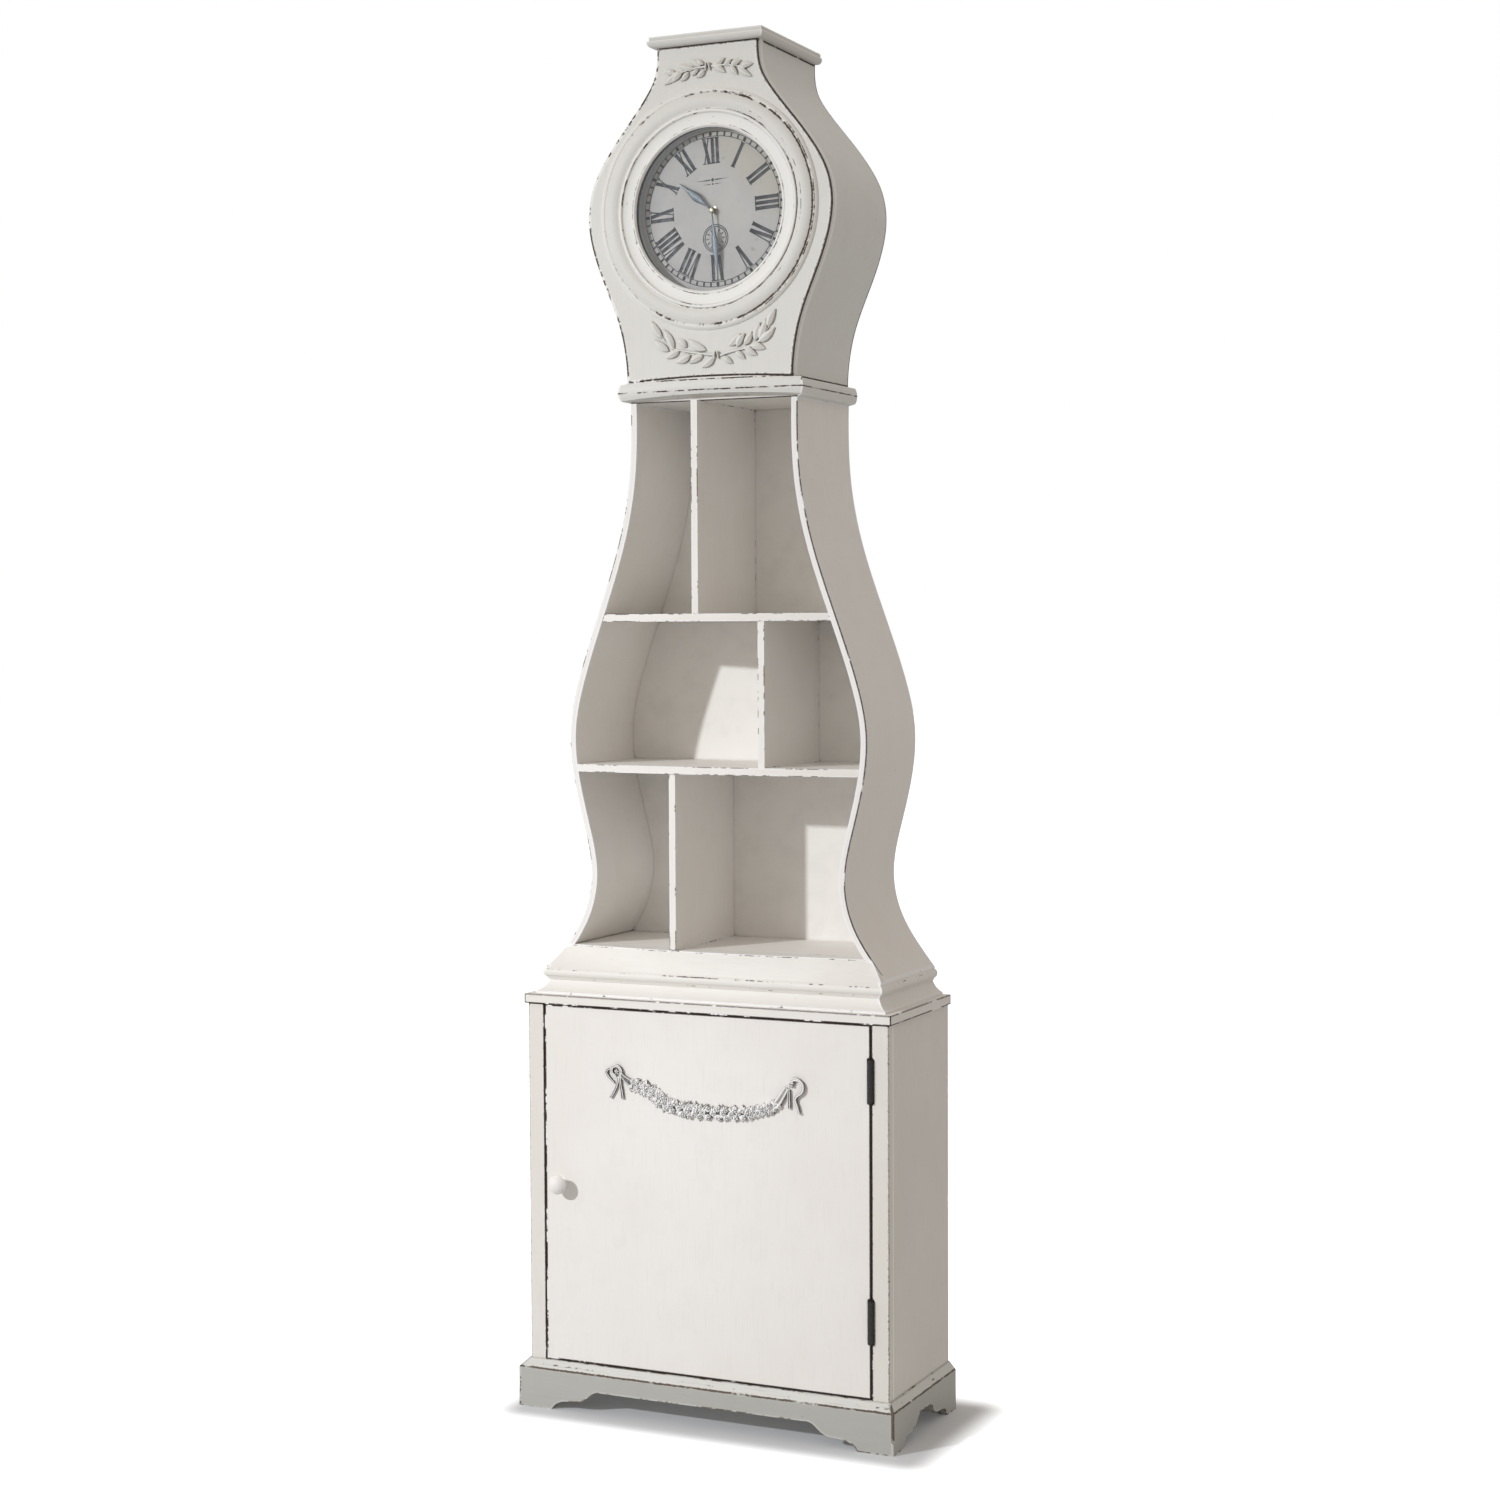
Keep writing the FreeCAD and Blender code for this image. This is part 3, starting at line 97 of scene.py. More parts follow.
# Lighter: partly its own tone, partly painted light for the brighter backs of the shelves
BACKING_TONE_AND_LIGHT = (0.865, 0.845, 0.81)
PLY_LIGHT = (0.47, 0.36, 0.24)
PLY_DARK = (0.35, 0.25, 0.155)
PLY_FIBRE = (0.26, 0.18, 0.11)
RING_WOOD = (0.075, 0.05, 0.038)
LIP_SHADE = (0.06, 0.055, 0.05)
# Painted shade in the laurels' crevices and on their parts low against the face
LAUREL_CREVICE_SHADE = (0.14, 0.13, 0.12)
LAUREL_HOLLOW_SHADE = (0.26, 0.25, 0.235)
GARLAND_PAINT = (0.87, 0.86, 0.84)
# Painted shade in the garland's hollows and on its parts low against the door
GARLAND_HOLLOW_SHADE = (0.03, 0.027, 0.025)
DIAL_GREY = (0.475, 0.465, 0.455)
DIAL_LILAC = (0.415, 0.405, 0.415)
DIAL_BEIGE = (0.47, 0.43, 0.345)
DIAL_GRIME = (0.29, 0.26, 0.24)
DIAL_FOXING = (0.22, 0.17, 0.13)
INK = (0.010, 0.013, 0.021)
FADED_INK = (0.11, 0.12, 0.145)
CELL_SLEEVE = (0.05, 0.085, 0.06)
CELL_RUBS = (0.075, 0.12, 0.09)
CELL_ENDS = (0.62, 0.61, 0.58)
PLAIN_WHITE = (1.0, 1.0, 1.0)
FLOOR_GREY = (0.66, 0.68, 0.705)
FILL_LIGHT = (1.0, 0.915, 0.83)
KEY_LIGHT = (0.965, 0.985, 1.02)

# What darkens a paint's tint: in clouds, in small mottles and in the strokes of the brush
CLOUD_TONE = (0.955, 0.945, 0.925)
MOTTLE_TONE = (0.93, 0.925, 0.91)
STROKE_TONE = (0.86, 0.855, 0.84)
# Painted highlight along the arrises: the tint times the gain, no lighter than the lightest
EDGE_HIGHLIGHT_GAIN = 1.16
LIGHTEST = 0.88

# Stretch of the grain along the way of the brush
UPRIGHT = (1.0, 1.0, 0.04)
LEVEL = (0.04, 1.0, 1.0)
EVEN = (1.0, 1.0, 1.0)

# Width of the band that most values of a noise lie in, and the rays for each soft test of a surface
NOISE_SPREAD = 0.36
SOFT_RAYS = 8

# Depth of the brush strokes and of a front arris, and the softening that finds the outer arrises
paint_relief = 0.12 * MM
arris_depth = 9.0 * MM
arris_softening = 3.0 * MM


def toned(colour, tone):
    """Colour times one number, or times one for each of its parts."""
    tones = tone if isinstance(tone, tuple) else (tone,) * len(colour)
    return tuple(part * share for part, share in zip(colour, tones))


def noise_level(cover):
    """Level that the given share of a noise's values passes."""
    return 0.5 + (0.5 - cover) * NOISE_SPREAD


def linked(name, data):
    """New object of the scene."""
    made = bpy.data.objects.new(name, data)
    bpy.context.scene.collection.objects.link(made)
    return made


class Tree:
    """The node tree of one material or world, with short calls for the nodes used here."""

    def __init__(self, name, kind="materials", output="ShaderNodeOutputMaterial"):
        self.owner = getattr(bpy.data, kind).new(name)
        self.owner.use_nodes = True
        self.tree = self.owner.node_tree
        self.tree.nodes.clear()
        self.output = self.tree.nodes.new(output)

    def put(self, socket, value):
        if isinstance(value, bpy.types.NodeSocket):
            self.tree.links.new(value, socket)
        elif socket.type == "RGBA" and len(value) == 3:
            socket.default_value = (*value, 1.0)
        else:
            socket.default_value = value

    def node(self, kind, inputs=None, **settings):
        made = self.tree.nodes.new(kind)
        for name, value in settings.items():
            setattr(made, name, value)
        for name, value in (inputs or {}).items():
            self.put(made.inputs[name], value)
        return made

    @functools.cached_property
    def place(self):
        """Place on the object, which goes with it in each pose."""
        return self.node("ShaderNodeTexCoord").outputs["Object"]

    def split(self, vector=None):
        """The three parts of the vector, or else of the place on the object."""
        parts = self.node("ShaderNodeSeparateXYZ", {0: self.place if vector is None else vector}).outputs
        return parts[0], parts[1], parts[2]

    def calc(self, operation, a, b=0.0):
        return self.node("ShaderNodeMath", {0: a, 1: b}, operation=operation).outputs[0]

    def plus(self, a, b):
        return self.calc("ADD", a, b)

    def minus(self, a, b):
        return self.calc("SUBTRACT", a, b)

    def times(self, a, b):
        return self.calc("MULTIPLY", a, b)

    def most(self, a, b):
        return self.calc("MAXIMUM", a, b)

    def below(self, a, b):
        return self.calc("LESS_THAN", a, b)

    def above(self, a, b):
        return self.calc("GREATER_THAN", a, b)

    def rest(self, share):
        """What is left of one."""
        return self.minus(1.0, share)

    def noise(self, scale, detail=2.0, roughness=0.5, grain=None):
        vector = self.place
        if grain:
            vector = self.node("ShaderNodeVectorMath", {0: vector, 1: grain}, operation="MULTIPLY").outputs[0]
        inputs = {"Vector": vector, "Scale": scale, "Detail": detail, "Roughness": roughness}
        return self.node("ShaderNodeTexNoise", inputs).outputs["Fac"]

    def step(self, value, low, high):
        """0 below low, 1 above high and smooth between them."""
        inputs = {"Value": value, "From Min": low, "From Max": high}
        return self.node("ShaderNodeMapRange", inputs, interpolation_type="SMOOTHSTEP").outputs[0]

    def mix(self, factor, a, b):
        made = self.node("ShaderNodeMix", data_type="RGBA")
        self.put(made.inputs[0], factor)
        self.put(made.inputs[6], a)
        self.put(made.inputs[7], b)
        return made.outputs[2]

    def bump(self, height, distance):
        return self.node("ShaderNodeBump", {"Height": height, "Distance": distance}).outputs["Normal"]

    def end(self, socket):
        """Ends the tree in the given shader."""
        self.put(self.output.inputs["Surface"], socket)
        return self.owner

    def surface(self, colour, roughness, relief, depth, metallic=0.0):
        """Ends the tree in one Principled shader, with the relief as a bump of the depth."""
        inputs = {"Base Color": colour, "Roughness": roughness, "Metallic": metallic,
                  "Normal": self.bump(relief, depth)}
        return self.end(self.node("ShaderNodeBsdfPrincipled", inputs).outputs[0])


def patchwork(tree, scale, roughness, bite_scale):
    """Noise of long stretches with small bites, for what shows in pieces."""
    stretches = tree.noise(scale, 3.0, roughness)
    bites = tree.noise(bite_scale, 2.0, 0.6)
    return tree.plus(tree.times(stretches, 0.6), tree.times(bites, 0.4))


def edge_wear(tree, cover, radius, lean, ragged):
    """Masks of the outer edges within the radius, and of those rubbed bare.

    Cover is the bare share, lean says how much it grows towards the right, and ragged how uneven its rim is.
    """
    inside = tree.node("ShaderNodeAmbientOcclusion", {"Distance": radius}, samples=SOFT_RAYS, inside=True,
                       only_local=True).outputs["AO"]
    edge = tree.rest(inside)
    broken = patchwork(tree, 20.0, 0.6, 110.0)
    broken = tree.plus(broken, tree.times(tree.split()[0], lean))
    middle = noise_level(cover)
    shown = tree.step(broken, middle - 0.03, middle + 0.03)
    least = tree.times(tree.noise(330.0, 2.0, 0.6), ragged)
    worn = tree.step(tree.minus(edge, least), 0.0, 0.06)
    return edge, tree.times(worn, shown)


def crevice_dust_and_shade(tree, distance, depth, shallow=0.75):
    """Masks of the corners, where dust and old wax lie with painted shade, and of the gaps, which get painted
    shade.
    """
    sky = tree.node("ShaderNodeAmbientOcclusion", {"Distance": distance}, samples=SOFT_RAYS).outputs["AO"]
    corners = tree.times(tree.rest(tree.step(sky, 0.25, shallow)), depth)
    gaps = tree.rest(tree.step(sky, 0.14, 0.40))
    return corners, gaps


def specks(tree, amount):
    """Mask of small nicks down to the wood."""
    patches = tree.step(tree.noise(9.0, 2.0), 0.60, 0.70)
    dots = tree.noise(330.0, 1.0, grain=(1.0, 1.0, 0.5))
    return tree.times(patches, tree.step(dots, 0.80 - amount, 0.84 - amount))


def paint(name, tint, grain, wear, dust_and_shade_depth=0.5, nicks=0.04, cracks=None, radius=3.6 * MM, reach=5.0 * MM,
          deep=CORNER_DUST_AND_SHADE, lean=0.0, unworn=None, outer=False, patch=None, gap=GAP_SHADE, shallow=0.75,
          ragged=0.26, bare=BARE_WOOD):
    """Brushed and rubbed paint over dark wood.

    The grain says along which axis the brush went. Wear is the share of the edges, within the radius, that is
    bare. Dust and painted shade lie in the corners as far as the reach, in the colour deep; the deepest gaps
    get painted shade in the colour gap, and the arrises a painted highlight. Cracks is a mask of dark lines
    and unworn a mask of the parts where no edge is bare. Outer keeps the bare edges to the arrises that face
    away from the middle. Patch is a mask and the colour that it adds.
    """
    tree = Tree(name)
    cloud = tree.noise(3.0, 3.0, 0.55)
    mottle = tree.noise(34.0, 4.0, 0.6)
    strokes = tree.noise(420.0, 3.0, 0.6, grain)
    shade = tree.mix(tree.step(cloud, 0.35, 0.7), tint, toned(tint, CLOUD_TONE))
    shade = tree.mix(tree.times(tree.step(mottle, 0.45, 0.75), 0.35), shade, toned(tint, MOTTLE_TONE))
    if patch:
        shade = tree.mix(patch[0](tree), shade, patch[1])
    shade = tree.mix(tree.times(tree.step(strokes, 0.5, 0.8), 0.5), shade, toned(tint, STROKE_TONE))
    # Dust and painted shade: the corners darken as far as the reach
    corners, gaps = crevice_dust_and_shade(tree, reach, dust_and_shade_depth, shallow)
    shade = tree.mix(corners, shade, deep)
    edge, worn = edge_wear(tree, wear, radius, lean, ragged)
    if unworn:
        worn = tree.times(worn, tree.rest(unworn(tree)))
    if outer:
        softened = tree.node("ShaderNodeBevel", {"Radius": arris_softening}, samples=SOFT_RAYS).outputs[0]
        facing = tree.split(softened)[0]
        away = tree.times(facing, tree.calc("SIGN", tree.split()[0]))
        worn = tree.times(worn, tree.step(away, 0.04, 0.22))
    # Painted highlight: the paint turns lighter along the arrises
    shade = tree.mix(tree.step(edge, 0.02, 0.12), shade,
                     tuple(min(part, LIGHTEST) for part in toned(tint, EDGE_HIGHLIGHT_GAIN)))
    # Painted shade: the deepest gaps between parts turn dark
    shade = tree.mix(gaps, shade, gap)
    if nicks:
        worn = tree.most(worn, specks(tree, nicks))
    if cracks:
        worn = tree.most(worn, cracks(tree))
    colour = tree.mix(worn, shade, bare)
    relief = tree.plus(tree.times(strokes, 0.5), mottle)
    relief = tree.minus(relief, tree.times(worn, 1.6))
    roughness = tree.plus(tree.times(strokes, 0.16), tree.times(worn, 0.2))
    return tree.surface(colour, tree.plus(roughness, 0.52), relief, paint_relief)


def broken_line(tree, distance, width, cover, weight=0.0):
    """Mask of a line of the given width, at no distance, that shows in pieces over the cover's share."""
    wobble = tree.times(tree.minus(tree.noise(45.0, 3.0), 0.5), 1.0 * MM)
    off = tree.calc("ABSOLUTE", tree.plus(distance, wobble))
    half = tree.times(tree.noise(300.0, 2.0, 0.6), width)
    near = tree.rest(tree.step(tree.minus(off, half), -0.15 * MM, 0.15 * MM))
    pieces = patchwork(tree, 24.0, 0.65, 120.0)
    middle = noise_level(cover)
    shown = tree.step(tree.plus(pieces, weight), middle - 0.05, middle + 0.05)
    return tree.times(near, shown)


def dial_distance(tree):
    """Distance from the dial's axis, and how far to the right of it."""
    x, _, z = tree.split()
    across = tree.minus(x, dial_x)
    up = tree.minus(z, dial_z)
    squares = tree.plus(tree.times(across, across), tree.times(up, up))
    return tree.calc("SQRT", squares), across


def all_lines(tree, value, lines, unit, weight=0.0):
    """Mask of broken lines. Each has the value that it lies at, its width, and the share that shows."""
    total = 0.0
    for level, width, cover in lines:
        line = broken_line(tree, tree.minus(value, level * unit), width * unit, cover, weight)
        total = tree.most(total, line)
    return total


def circle_cracks_and_shade(lines, side):
    """Dark lines round the dial, most on the right for a side above 0, and on the left below it: cracks, with
    painted shade where they gather on the side turned from the light.
    """
    def mask(tree):
        radius, across = dial_distance(tree)
        return all_lines(tree, radius, lines, MM, tree.times(across, 0.75 * side))
    return mask


def level_cracks(lines):
    """Dark lines along a moulding."""
    def mask(tree):
        return all_lines(tree, tree.split()[2], lines, 1.0)
    return mask


def round_area(radius):
    """Mask of all that is nearer to the dial's axis than the radius."""
    def mask(tree):
        return tree.below(dial_distance(tree)[0], radius)
    return mask


def joint(low, high):
    """Mask of the depths at a glued joint."""
    def mask(tree):
        depth = tree.split()[1]
        return tree.times(tree.above(depth, low), tree.below(depth, high))
    return mask


def away_from_front(front, low, high):
    """Mask of all but the front arrises, between the heights low and high."""
    def mask(tree):
        _, depth, height = tree.split()
        ends = tree.most(tree.below(height, low), tree.above(height, high))
        return tree.most(tree.above(depth, front + arris_depth), ends)
    return mask


def low_parts(face_y, low, high):
    """Mask of the carving's parts close to the face it lies on."""
    def mask(tree):
        rise = tree.minus(face_y, tree.split()[1])
        return tree.rest(tree.step(rise, low, high))
    return mask


def bevel(tree):
    """Mask of the plinth's bevel, above its front."""
    return tree.step(tree.split()[2], bevel_height - 1.0 * MM, bevel_height + 1.0 * MM)


def metal(name, colour, roughness, patina=None, metallic=1.0):
    """Metal with a fine grain, and spots of a second colour where it has aged."""
    tree = Tree(name)
    spots = tree.noise(240.0, 4.0, 0.65)
    scratches = tree.noise(1400.0, 2.0)
    shade = tree.mix(tree.step(spots, 0.45, 0.68), colour, patina or toned(colour, 0.7))
    rough = tree.plus(tree.times(spots, 0.25), roughness - 0.1)
    return tree.surface(shade, rough, tree.plus(scratches, spots), 0.04 * MM, metallic)


def plastic(name, colour, roughness):
    """Moulded plastic with a fine spark-eroded skin."""
    tree = Tree(name)
    skin = tree.noise(2600.0, 2.0, 0.7)
    cloud = tree.noise(60.0, 2.0)
    shade = tree.mix(tree.step(cloud, 0.35, 0.7), colour, toned(colour, 0.9))
    rough = tree.plus(tree.times(skin, 0.15), roughness)
    return tree.surface(shade, rough, skin, 0.03 * MM)


def backing_board(name):
    """Thin board: painted on the side towards the shelves, thinly washed ply behind."""
    tree = Tree(name)
    behind = tree.step(tree.split()[1], cad_box[1].y - 2.5 * MM, cad_box[1].y - 1.5 * MM)
    mottle = tree.noise(30.0, 4.0, 0.6)
    fibres = tree.noise(300.0, 4.0, 0.65, (1.0, 1.0, 0.03))
    figure = tree.noise(26.0, 3.0, 0.6, (1.0, 1.0, 0.12))
    front = tree.mix(tree.step(mottle, 0.4, 0.75), BACKING_TONE_AND_LIGHT, toned(BACKING_TONE_AND_LIGHT, 0.94))
    # Dust and painted shade in the corners, and painted shade in the deep gaps
    corners, gaps = crevice_dust_and_shade(tree, 8.0 * MM, 0.6)
    front = tree.mix(corners, front, CORNER_DUST_AND_SHADE)
    front = tree.mix(gaps, front, SHELF_GAP_SHADE)
    ply = tree.mix(tree.step(figure, 0.35, 0.7), PLY_LIGHT, PLY_DARK)
    ply = tree.mix(tree.times(tree.step(fibres, 0.45, 0.75), 0.5), ply, PLY_FIBRE)
    colour = tree.mix(behind, front, ply)
    relief = tree.plus(tree.times(fibres, tree.plus(behind, 0.25)), mottle)
    return tree.surface(colour, tree.plus(tree.times(fibres, 0.2), 0.5), relief, paint_relief)


def dial_paper(name):
    """Aged printed dial: grey with lilac and beige clouds and faint foxing."""
    tree = Tree(name)
    x, _, z = tree.split()
    cloud = tree.noise(11.0, 4.0, 0.6)
    fine = tree.noise(120.0, 4.0, 0.65)
    fox = tree.noise(48.0, 3.0, 0.7)
    shade = tree.mix(tree.step(cloud, 0.35, 0.68), DIAL_GREY, DIAL_LILAC)
    across, up = tree.minus(x, dial_x), tree.minus(z, dial_z)
    slant = tree.plus(tree.times(across, 5.0), tree.times(up, 5.0))
    beige = tree.times(tree.step(tree.plus(slant, cloud), 0.75, 1.15), 0.6)
    shade = tree.mix(beige, shade, DIAL_BEIGE)
    shade = tree.mix(tree.times(tree.step(fine, 0.52, 0.8), 0.35), shade, DIAL_GRIME)
    shade = tree.mix(tree.times(tree.step(fox, 0.64, 0.78), 0.5), shade, DIAL_FOXING)
    return tree.surface(shade, tree.plus(tree.times(fine, 0.2), 0.5), fine, 0.03 * MM)


def printed_ink(name):
    """Dark blue-grey print, rubbed thin in places and more so towards the left."""
    tree = Tree(name)
    rubbed = tree.noise(170.0, 4.0, 0.7)
    patchy = tree.noise(24.0, 2.0)
    leftward = tree.minus(dial_x, tree.split()[0])
    worn = tree.plus(rubbed, tree.times(patchy, 0.35))
    faded = tree.step(tree.plus(worn, leftward), 0.68, 0.88)
    colour = tree.mix(faded, INK, FADED_INK)
    return tree.surface(colour, tree.plus(tree.times(rubbed, 0.2), 0.45), rubbed, 0.02 * MM)


def clear_glass(name):
    """Thin old glass, which lets the light on the dial straight through."""
    tree = Tree(name)
    waves = tree.noise(16.0, grain=(1.0, 1.0, 0.3))
    glass = tree.node("ShaderNodeBsdfPrincipled", {
        "Base Color": (0.97, 0.98, 0.975), "Roughness": 0.02, "IOR": 1.45, "Transmission Weight": 1.0,
        "Normal": tree.bump(waves, 0.08 * MM)}).outputs[0]
    through = tree.node("ShaderNodeBsdfTransparent", {"Color": (0.96, 0.965, 0.96)}).outputs[0]
    rays = tree.node("ShaderNodeLightPath").outputs
    straight = tree.most(rays["Is Shadow Ray"], rays["Is Diffuse Ray"])
    return tree.end(tree.node("ShaderNodeMixShader", {0: straight, 1: glass, 2: through}).outputs[0])


def battery_skin(name):
    """Plain sleeve round the cell, bare metal at its two ends."""
    tree = Tree(name)
    low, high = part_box("battery")
    off_middle = tree.calc("ABSOLUTE", tree.minus(tree.split()[0], (low.x + high.x) / 2))
    half = (high.x - low.x) / 2
    ends = tree.step(off_middle, half - 3.5 * MM, half - 3.2 * MM)
    rubs = tree.noise(300.0, 3.0, 0.6)
    sleeve = tree.mix(tree.step(rubs, 0.4, 0.75), CELL_SLEEVE, CELL_RUBS)
    rough = tree.plus(tree.times(rubs, 0.2), 0.25)
    return tree.surface(tree.mix(ends, sleeve, CELL_ENDS), rough, rubs, 0.02 * MM, ends)


def dress(names, material):
    """Gives the named nodes the material."""
    for name in names.split():
        nodes[name].data.materials.clear()
        nodes[name].data.materials.append(material)
    return material


band_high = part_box("band_moulding")[1].z
base_low, base_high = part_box("base_front")
bead_height = base_low.z + 35.0 * MM
bevel_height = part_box("plinth_front")[1].z - 11.0 * MM
head_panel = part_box("head_front")
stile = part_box("stile_right")
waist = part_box("waist_side_right")
glass_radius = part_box("dial_glass")[1].x - dial_x

# Dark lines along mouldings: height, width and the share that shows
band_lines = level_cracks([(band_high - 5.5 * MM, 1.8 * MM, 0.55), (band_high - 20.5 * MM, 1.8 * MM, 0.6)])
bead_lines = level_cracks([(bead_height, 1.3 * MM, 0.36), (bead_height - 13.0 * MM, 1.0 * MM, 0.22),
                           (base_high.z - 1.5 * MM, 0.9 * MM, 0.42)])
bevel_lines = level_cracks([(bevel_height, 2.4 * MM, 0.72), (bevel_height + 5.0 * MM, 1.8 * MM, 0.22)])

# Dark lines round the rings, cracks with painted shade on the side turned from the light: radius and width in
# millimetres, and the share that shows
ring_cracks_and_shade = circle_cracks_and_shade([(164.6, 3.0, 0.48), (167.5, 1.6, 0.20), (141.5, 1.4, 0.36), (148.0, 1.0, 0.12)],
                           1.0)
bezel_cracks_and_shade = circle_cracks_and_shade([(136.4, 1.2, 0.30), (130.0, 1.0, 0.12), (124.5, 0.8, 0.08), (120.5, 0.9, 0.45)],
                            -0.4)

dress("waist_side_left waist_side_right",
      paint("case_paint", CASE_TONE_AND_LIGHT, UPRIGHT, wear=0.60, lean=0.35, outer=True, gap=SHELF_GAP_SHADE,
            radius=4.0 * MM, ragged=0.22,
            unworn=away_from_front(waist[0].y, waist[0].z + 9.0 * MM, waist[1].z - 6.0 * MM)))
board_look = {"wear": 0.36, "dust_and_shade_depth": 0.35, "radius": 1.8 * MM, "gap": SHELF_GAP_SHADE, "bare": RUBBED_WOOD}
dress("divider_lower divider_middle divider_upper corner_blocks",
      paint("divider_paint", CASE_TONE_AND_LIGHT, UPRIGHT, **board_look))
dress("waist_floor shelf_middle shelf_upper", paint("shelf_paint", CASE_TONE_AND_LIGHT, LEVEL, **board_look))
dress("stile_left stile_right cabinet_side_left cabinet_side_right",
      paint("cabinet_paint", CABINET_PAINT, UPRIGHT, wear=0.84, radius=3.0 * MM,
            unworn=joint(stile[0].y + 5.0 * MM, stile[1].y + 6.0 * MM)))
dress("cabinet_top cabinet_bottom neck_board",
      paint("rail_paint", WHITE_PAINT, LEVEL, wear=0.66, radius=2.0 * MM, ragged=0.10))
dress("base_front base_left base_right",
      paint("base_paint", WHITE_PAINT, LEVEL, wear=0.15, cracks=bead_lines, radius=2.4 * MM))
dress("head_front head_side_left head_side_right",
      paint("head_paint", HEAD_TONE_AND_SHADE, UPRIGHT, wear=0.74, lean=0.6, radius=5.0 * MM,
            # The wall of the opening round the glass takes the dark bare-wood colour: a dark band at the
            # glass's edge
            cracks=round_area(glass_radius - 1.5 * MM),
            unworn=joint(head_panel[0].y + 5.0 * MM, head_panel[1].y + 6.0 * MM)))
# The cornice is greyer still: painted shade for the weaker light at the top
dress("cornice head_top",
      paint("cornice_paint", toned(HEAD_TONE_AND_SHADE, 0.92), LEVEL, wear=0.10, radius=2.2 * MM))
dress("band_moulding",
      paint("band_paint", HEAD_TONE_AND_SHADE, LEVEL, wear=0.25, radius=2.2 * MM, cracks=band_lines, gap=SHELF_GAP_SHADE))
dress("door_panel", paint("door_paint", DOOR_PAINT, UPRIGHT, wear=0.82, lean=0.35, nicks=0.0,
                          radius=2.2 * MM, ragged=0.12))
dress("door_knob", paint("knob_paint", DOOR_PAINT, UPRIGHT, wear=0.0, nicks=0.0))
# The plinth's bevel is lighter: partly white paint, partly painted light on a face turned up to the lamp
dress("plinth_front plinth_left plinth_right plinth_back",
      paint("plinth_paint", PLINTH_PAINT, LEVEL, wear=0.45, cracks=bevel_lines, nicks=0.06,
            radius=3.0 * MM, patch=(bevel, BEVEL_PAINT_AND_LIGHT), bare=RUBBED_WOOD))
dress("dial_ring", paint("ring_paint", HEAD_TONE_AND_SHADE, EVEN, wear=0.05, cracks=ring_cracks_and_shade, bare=RING_WOOD))
bezel_paint = dress("dial_bezel", paint(
    "bezel_paint", HEAD_TONE_AND_SHADE, EVEN, wear=0.0, cracks=bezel_cracks_and_shade, reach=3.0 * MM,
    # The bezel's lip inside the glass's edge is coloured near black
    patch=(round_area(glass_radius - 4.4 * MM), LIP_SHADE)))
# Painted shade: dark crevices, and the leaves' parts low against the head's face darker
laurel_paint = dress("laurel_upper laurel_lower", paint(
    "laurel_paint", HEAD_TONE_AND_SHADE, EVEN, wear=0.0, dust_and_shade_depth=0.9, nicks=0.0, radius=1.0 * MM, deep=LAUREL_CREVICE_SHADE,
    shallow=0.65, patch=(low_parts(head_face_y, 0.5 * MM, 3.0 * MM), LAUREL_HOLLOW_SHADE)))
# Painted shade: near-black hollows, and the parts low against the door's face dark
garland_paint = dress("door_garland", paint(
    "garland_paint", GARLAND_PAINT, EVEN, wear=0.0, dust_and_shade_depth=1.0, nicks=0.0, radius=1.0 * MM, reach=4.0 * MM,
    deep=GARLAND_HOLLOW_SHADE, shallow=0.6, patch=(low_parts(door_face_y, 3.4 * MM, 6.0 * MM), GARLAND_HOLLOW_SHADE)))
dress("dial_rim", paint("rim_paint", RIM_PAINT, EVEN, wear=0.0, nicks=0.0))
dress("cabinet_back waist_back head_back", backing_board("backing_board"))
dress("hinge_frame_leaves hinge_door_leaves hinge_pins",
      metal("blackened_iron", (0.020, 0.017, 0.016), 0.55, (0.008, 0.007, 0.006), metallic=0.4))
dress("hinge_frame_screws hinge_door_screws knob_screw",
      metal("screw_steel", (0.30, 0.285, 0.27), 0.35, (0.10, 0.08, 0.06)))
dress("catch_strike battery_contacts minute_arbor", metal("bright_steel", (0.62, 0.62, 0.62), 0.25))
hand_steel = dress("minute_hand hour_hand",
                   metal("hand_steel", (0.10, 0.125, 0.15), 0.5, (0.05, 0.062, 0.078), metallic=0.3))
brass = dress("movement_nut", metal("brass", (0.70, 0.62, 0.44), 0.34, (0.52, 0.42, 0.26)))
dress("movement_case movement_cover", plastic("black_plastic", (0.022, 0.022, 0.024), 0.42))
dress("hour_wheel setting_wheel", plastic("white_plastic", (0.66, 0.65, 0.62), 0.35))
dress("catch_magnet", plastic("catch_plastic", (0.60, 0.585, 0.55), 0.40))
dress("dial_plate", dial_paper("dial_paper"))
dress("dial_glass", clear_glass("clear_glass"))
dress("battery", battery_skin("battery_skin"))
ink = printed_ink("printed_ink")


# Carved and fine pieces

class Solid:
    """Vertices and faces of one piece, gathered from many small closed forms."""

    def __init__(self):
        self.points = []
        self.faces = []

    def add(self, points, faces):
        first = len(self.points)
        self.points.extend(points)
        self.faces.extend(tuple(first + i for i in face) for face in faces)

    def piece(self, name, material, body, replaced=None, smooth_levels=0):
        mesh = bpy.data.meshes.new(name)
        mesh.from_pydata(self.points, [], self.faces)
        mesh.materials.append(material)
        mesh.polygons.foreach_set("use_smooth", [True] * len(mesh.polygons))
        made = linked(name, mesh)
        if smooth_levels:
            subdivision = made.modifiers.new("round", "SUBSURF")
            subdivision.levels = subdivision.render_levels = smooth_levels
        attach(made, body)
        if replaced:
            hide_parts(replaced)
        return made


def bezier(a, b, c, t):
    return a * (1 - t) ** 2 + b * 2 * t * (1 - t) + c * t ** 2


